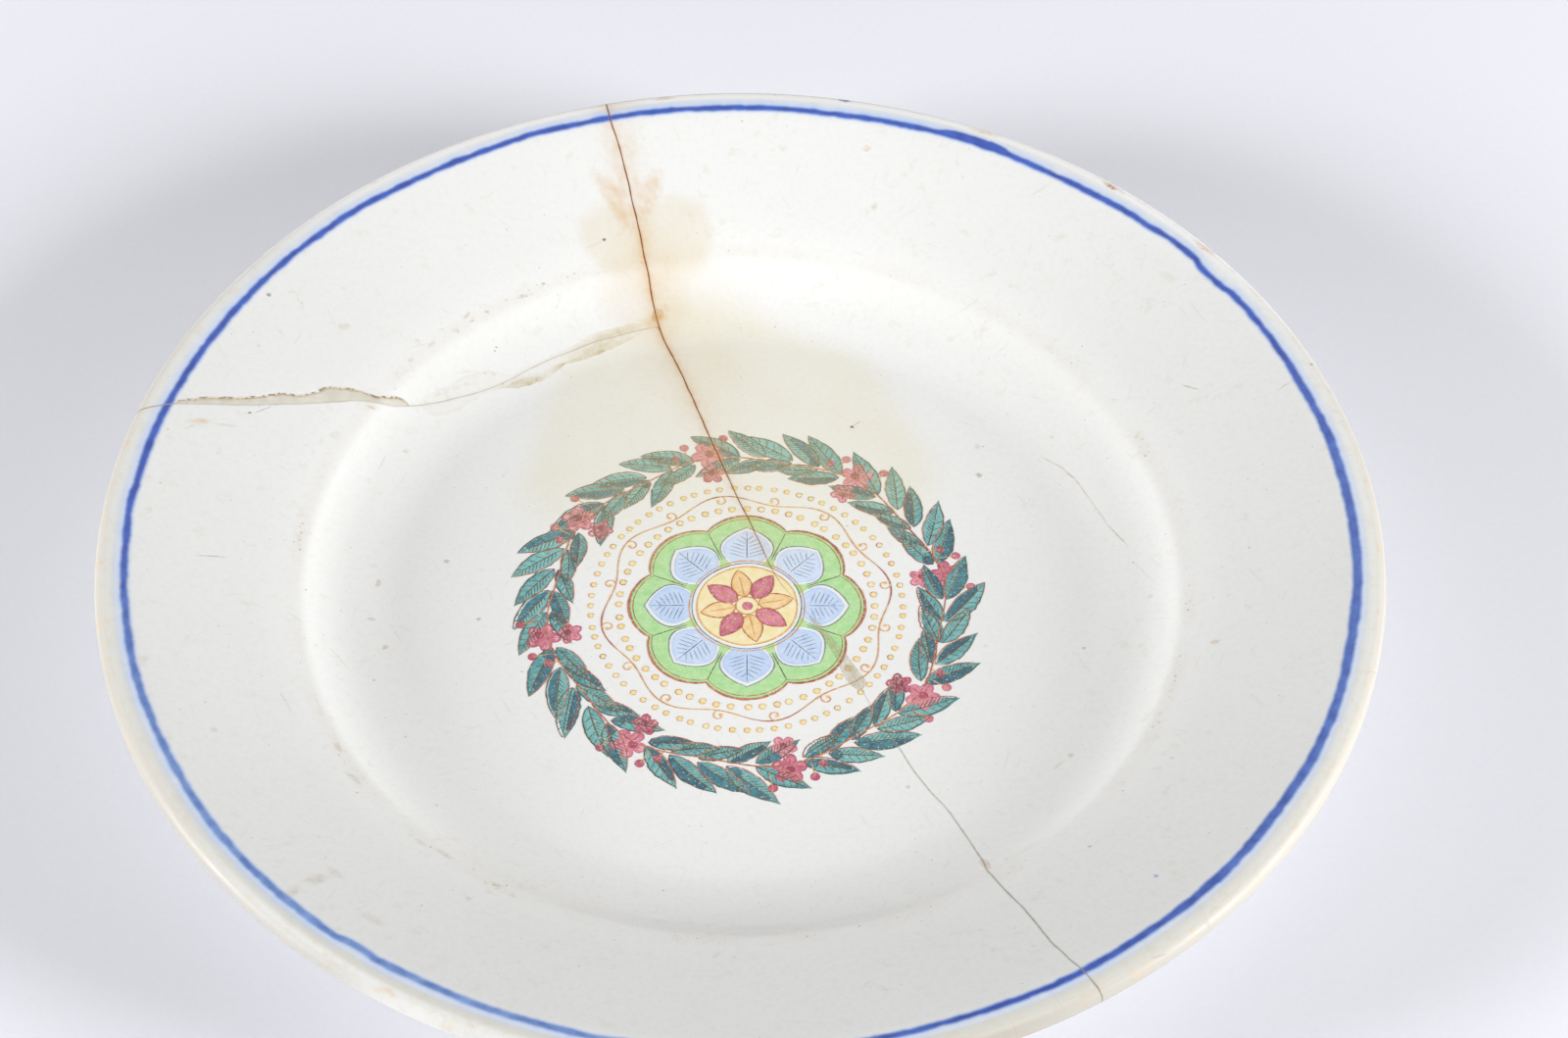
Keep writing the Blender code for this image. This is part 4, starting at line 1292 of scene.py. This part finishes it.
def filling(width, depth):
    """The glue in the flaked edge: level with the glaze at the flake's edge, sunk a little at the crack."""
    start = 0.07
    end = max(width - 0.02, 0.2)
    sag = glue_draw.uniform(0.03, 0.1)
    top = (
        (0, 0.22), (0.1, 0.12 + sag * 0.5), (0.3, 0.05 + sag), (0.55, 0.05 + sag), (0.8, 0.05 + sag * 0.5),
        (0.95, 0.04), (1.0, 0.1),
    )
    underside = [
        (share, max(part * depth, 0.14) + 0.08)
        for share, part in ((0.98, 0.35), (0.7, 0.75), (0.35, 1.0), (0, 1.05))
    ]
    return [(start + (end - start) * share, -below) for share, below in (*top, *underside)]


def plaster_and_glue():
    """Glue thickened with plaster: a dull beige paste, pitted, browned by dirt along the flake's edge."""
    material, tree = new_tree("plaster_and_glue_filling")
    flat = millimetres(tree)
    cloud = ramp(tree, noise(tree, flat, 3.0, 4), 0.3, 0.7)
    edge = eased(tree, told(tree, "chip_reach"), 0.05, 0.8, 0.8, 0)
    base = mix(tree, times(tree, edge, cloud), mix(tree, cloud, "#D6D3CA", "#CAC3B3"), "#B39B74")
    base = soiled(tree, stained(tree, base, flat), flat)
    surface(tree, base, 0.6, BODY_IOR, Normal=bumps(tree, noise(tree, flat, 0.35, 4), 0.8, 0.06))
    return material


fill = along_chip("chip_fill", filling)
write_stains(fill.data)
for face in fill.data.polygons:
    face.material_index = 0
smooth(fill, 50)
fill.data.materials.append(plaster_and_glue())
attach(fill, "root")
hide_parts("glue_chip_fill")

# ---- The table, the light and the camera --------------------------------------------------------
# A pale lavender-grey sweep, with a soft lamp low at each side, a weak one high behind, and a pale room.


def add_floor():
    """A round table top of matt paper, much larger than the plate."""
    bm = bmesh.new()
    bmesh.ops.create_circle(bm, cap_ends=True, segments=64, radius=6)
    floor = add_object("pale_table", bm)
    material, tree = new_tree("matt_paper")
    fibre = noise(tree, millimetres(tree, height=1), 1 / 0.9, 3)
    surface(tree, mix(tree, fibre, "#EAEAF1", "#EFEFF5"), 0.9, 1.3)
    floor.data.materials.append(material)


def add_lamp(name, place, size, power):
    """A white area lamp that points at the plate."""
    light = bpy.data.lights.new(name, "AREA")
    light.shape = "RECTANGLE"
    light.size, light.size_y = size
    light.energy = power
    lamp = placed(name, light)
    lamp.location = place
    lamp.rotation_euler = (Vector((0, 0, 0.01)) - Vector(place)).to_track_quat("-Z", "Y").to_euler()


add_floor()
add_lamp("right_softbox", (1.17, -0.34, 0.44), (0.5, 0.4), 22.6)
add_lamp("left_softbox", (-1.2, -0.26, 0.41), (0.5, 0.4), 20.3)
add_lamp("far_softbox", (0.0, 0.8, 1.4), (1.2, 0.8), 1.5)

world = bpy.data.worlds.new("pale_room")
world.use_nodes = True
tree = world.node_tree
tree.nodes.clear()
# The room lights the plate weakly, but is seen whole by the camera and in the glaze
path = put(tree, "LightPath", {})
seen = 0
for ray in ("Is Camera Ray", "Is Glossy Ray", "Is Transmission Ray"):
    seen = put(tree, "Math", {0: seen, 1: path[ray]}, operation="MAXIMUM")[0]
air = put(tree, "Background", {"Color": colour("#F2F2F6"), "Strength": ramp(tree, seen, 0, 1, 0.22, 1)})
put(tree, "OutputWorld", {0: air[0]})
bpy.context.scene.world = world

CAMERA_DISTANCE = 0.6274
CAMERA_HEIGHT = radians(49.28)
CAMERA_PAN = radians(0.733)
CAMERA_TILT = radians(0.024)
CAMERA_ROLL = radians(0.057)
camera_data = bpy.data.cameras.new("camera")
camera_data.sensor_width = 36
camera_data.lens = 75.53
camera = placed("camera", camera_data)
back = Vector((0, -cos(CAMERA_HEIGHT), sin(CAMERA_HEIGHT)))
camera.location = Vector((0, 0, HEIGHT)) + back * CAMERA_DISTANCE
looking_down = Matrix.Rotation(pi / 2 - CAMERA_HEIGHT + CAMERA_TILT, 3, "X")
turned_aside = Matrix.Rotation(-CAMERA_PAN, 3, "Y")
rolled = Matrix.Rotation(CAMERA_ROLL, 3, "Z")
camera.rotation_euler = (looking_down @ turned_aside @ rolled).to_euler()
bpy.context.scene.camera = camera
bpy.context.scene.view_settings.view_transform = "Standard"
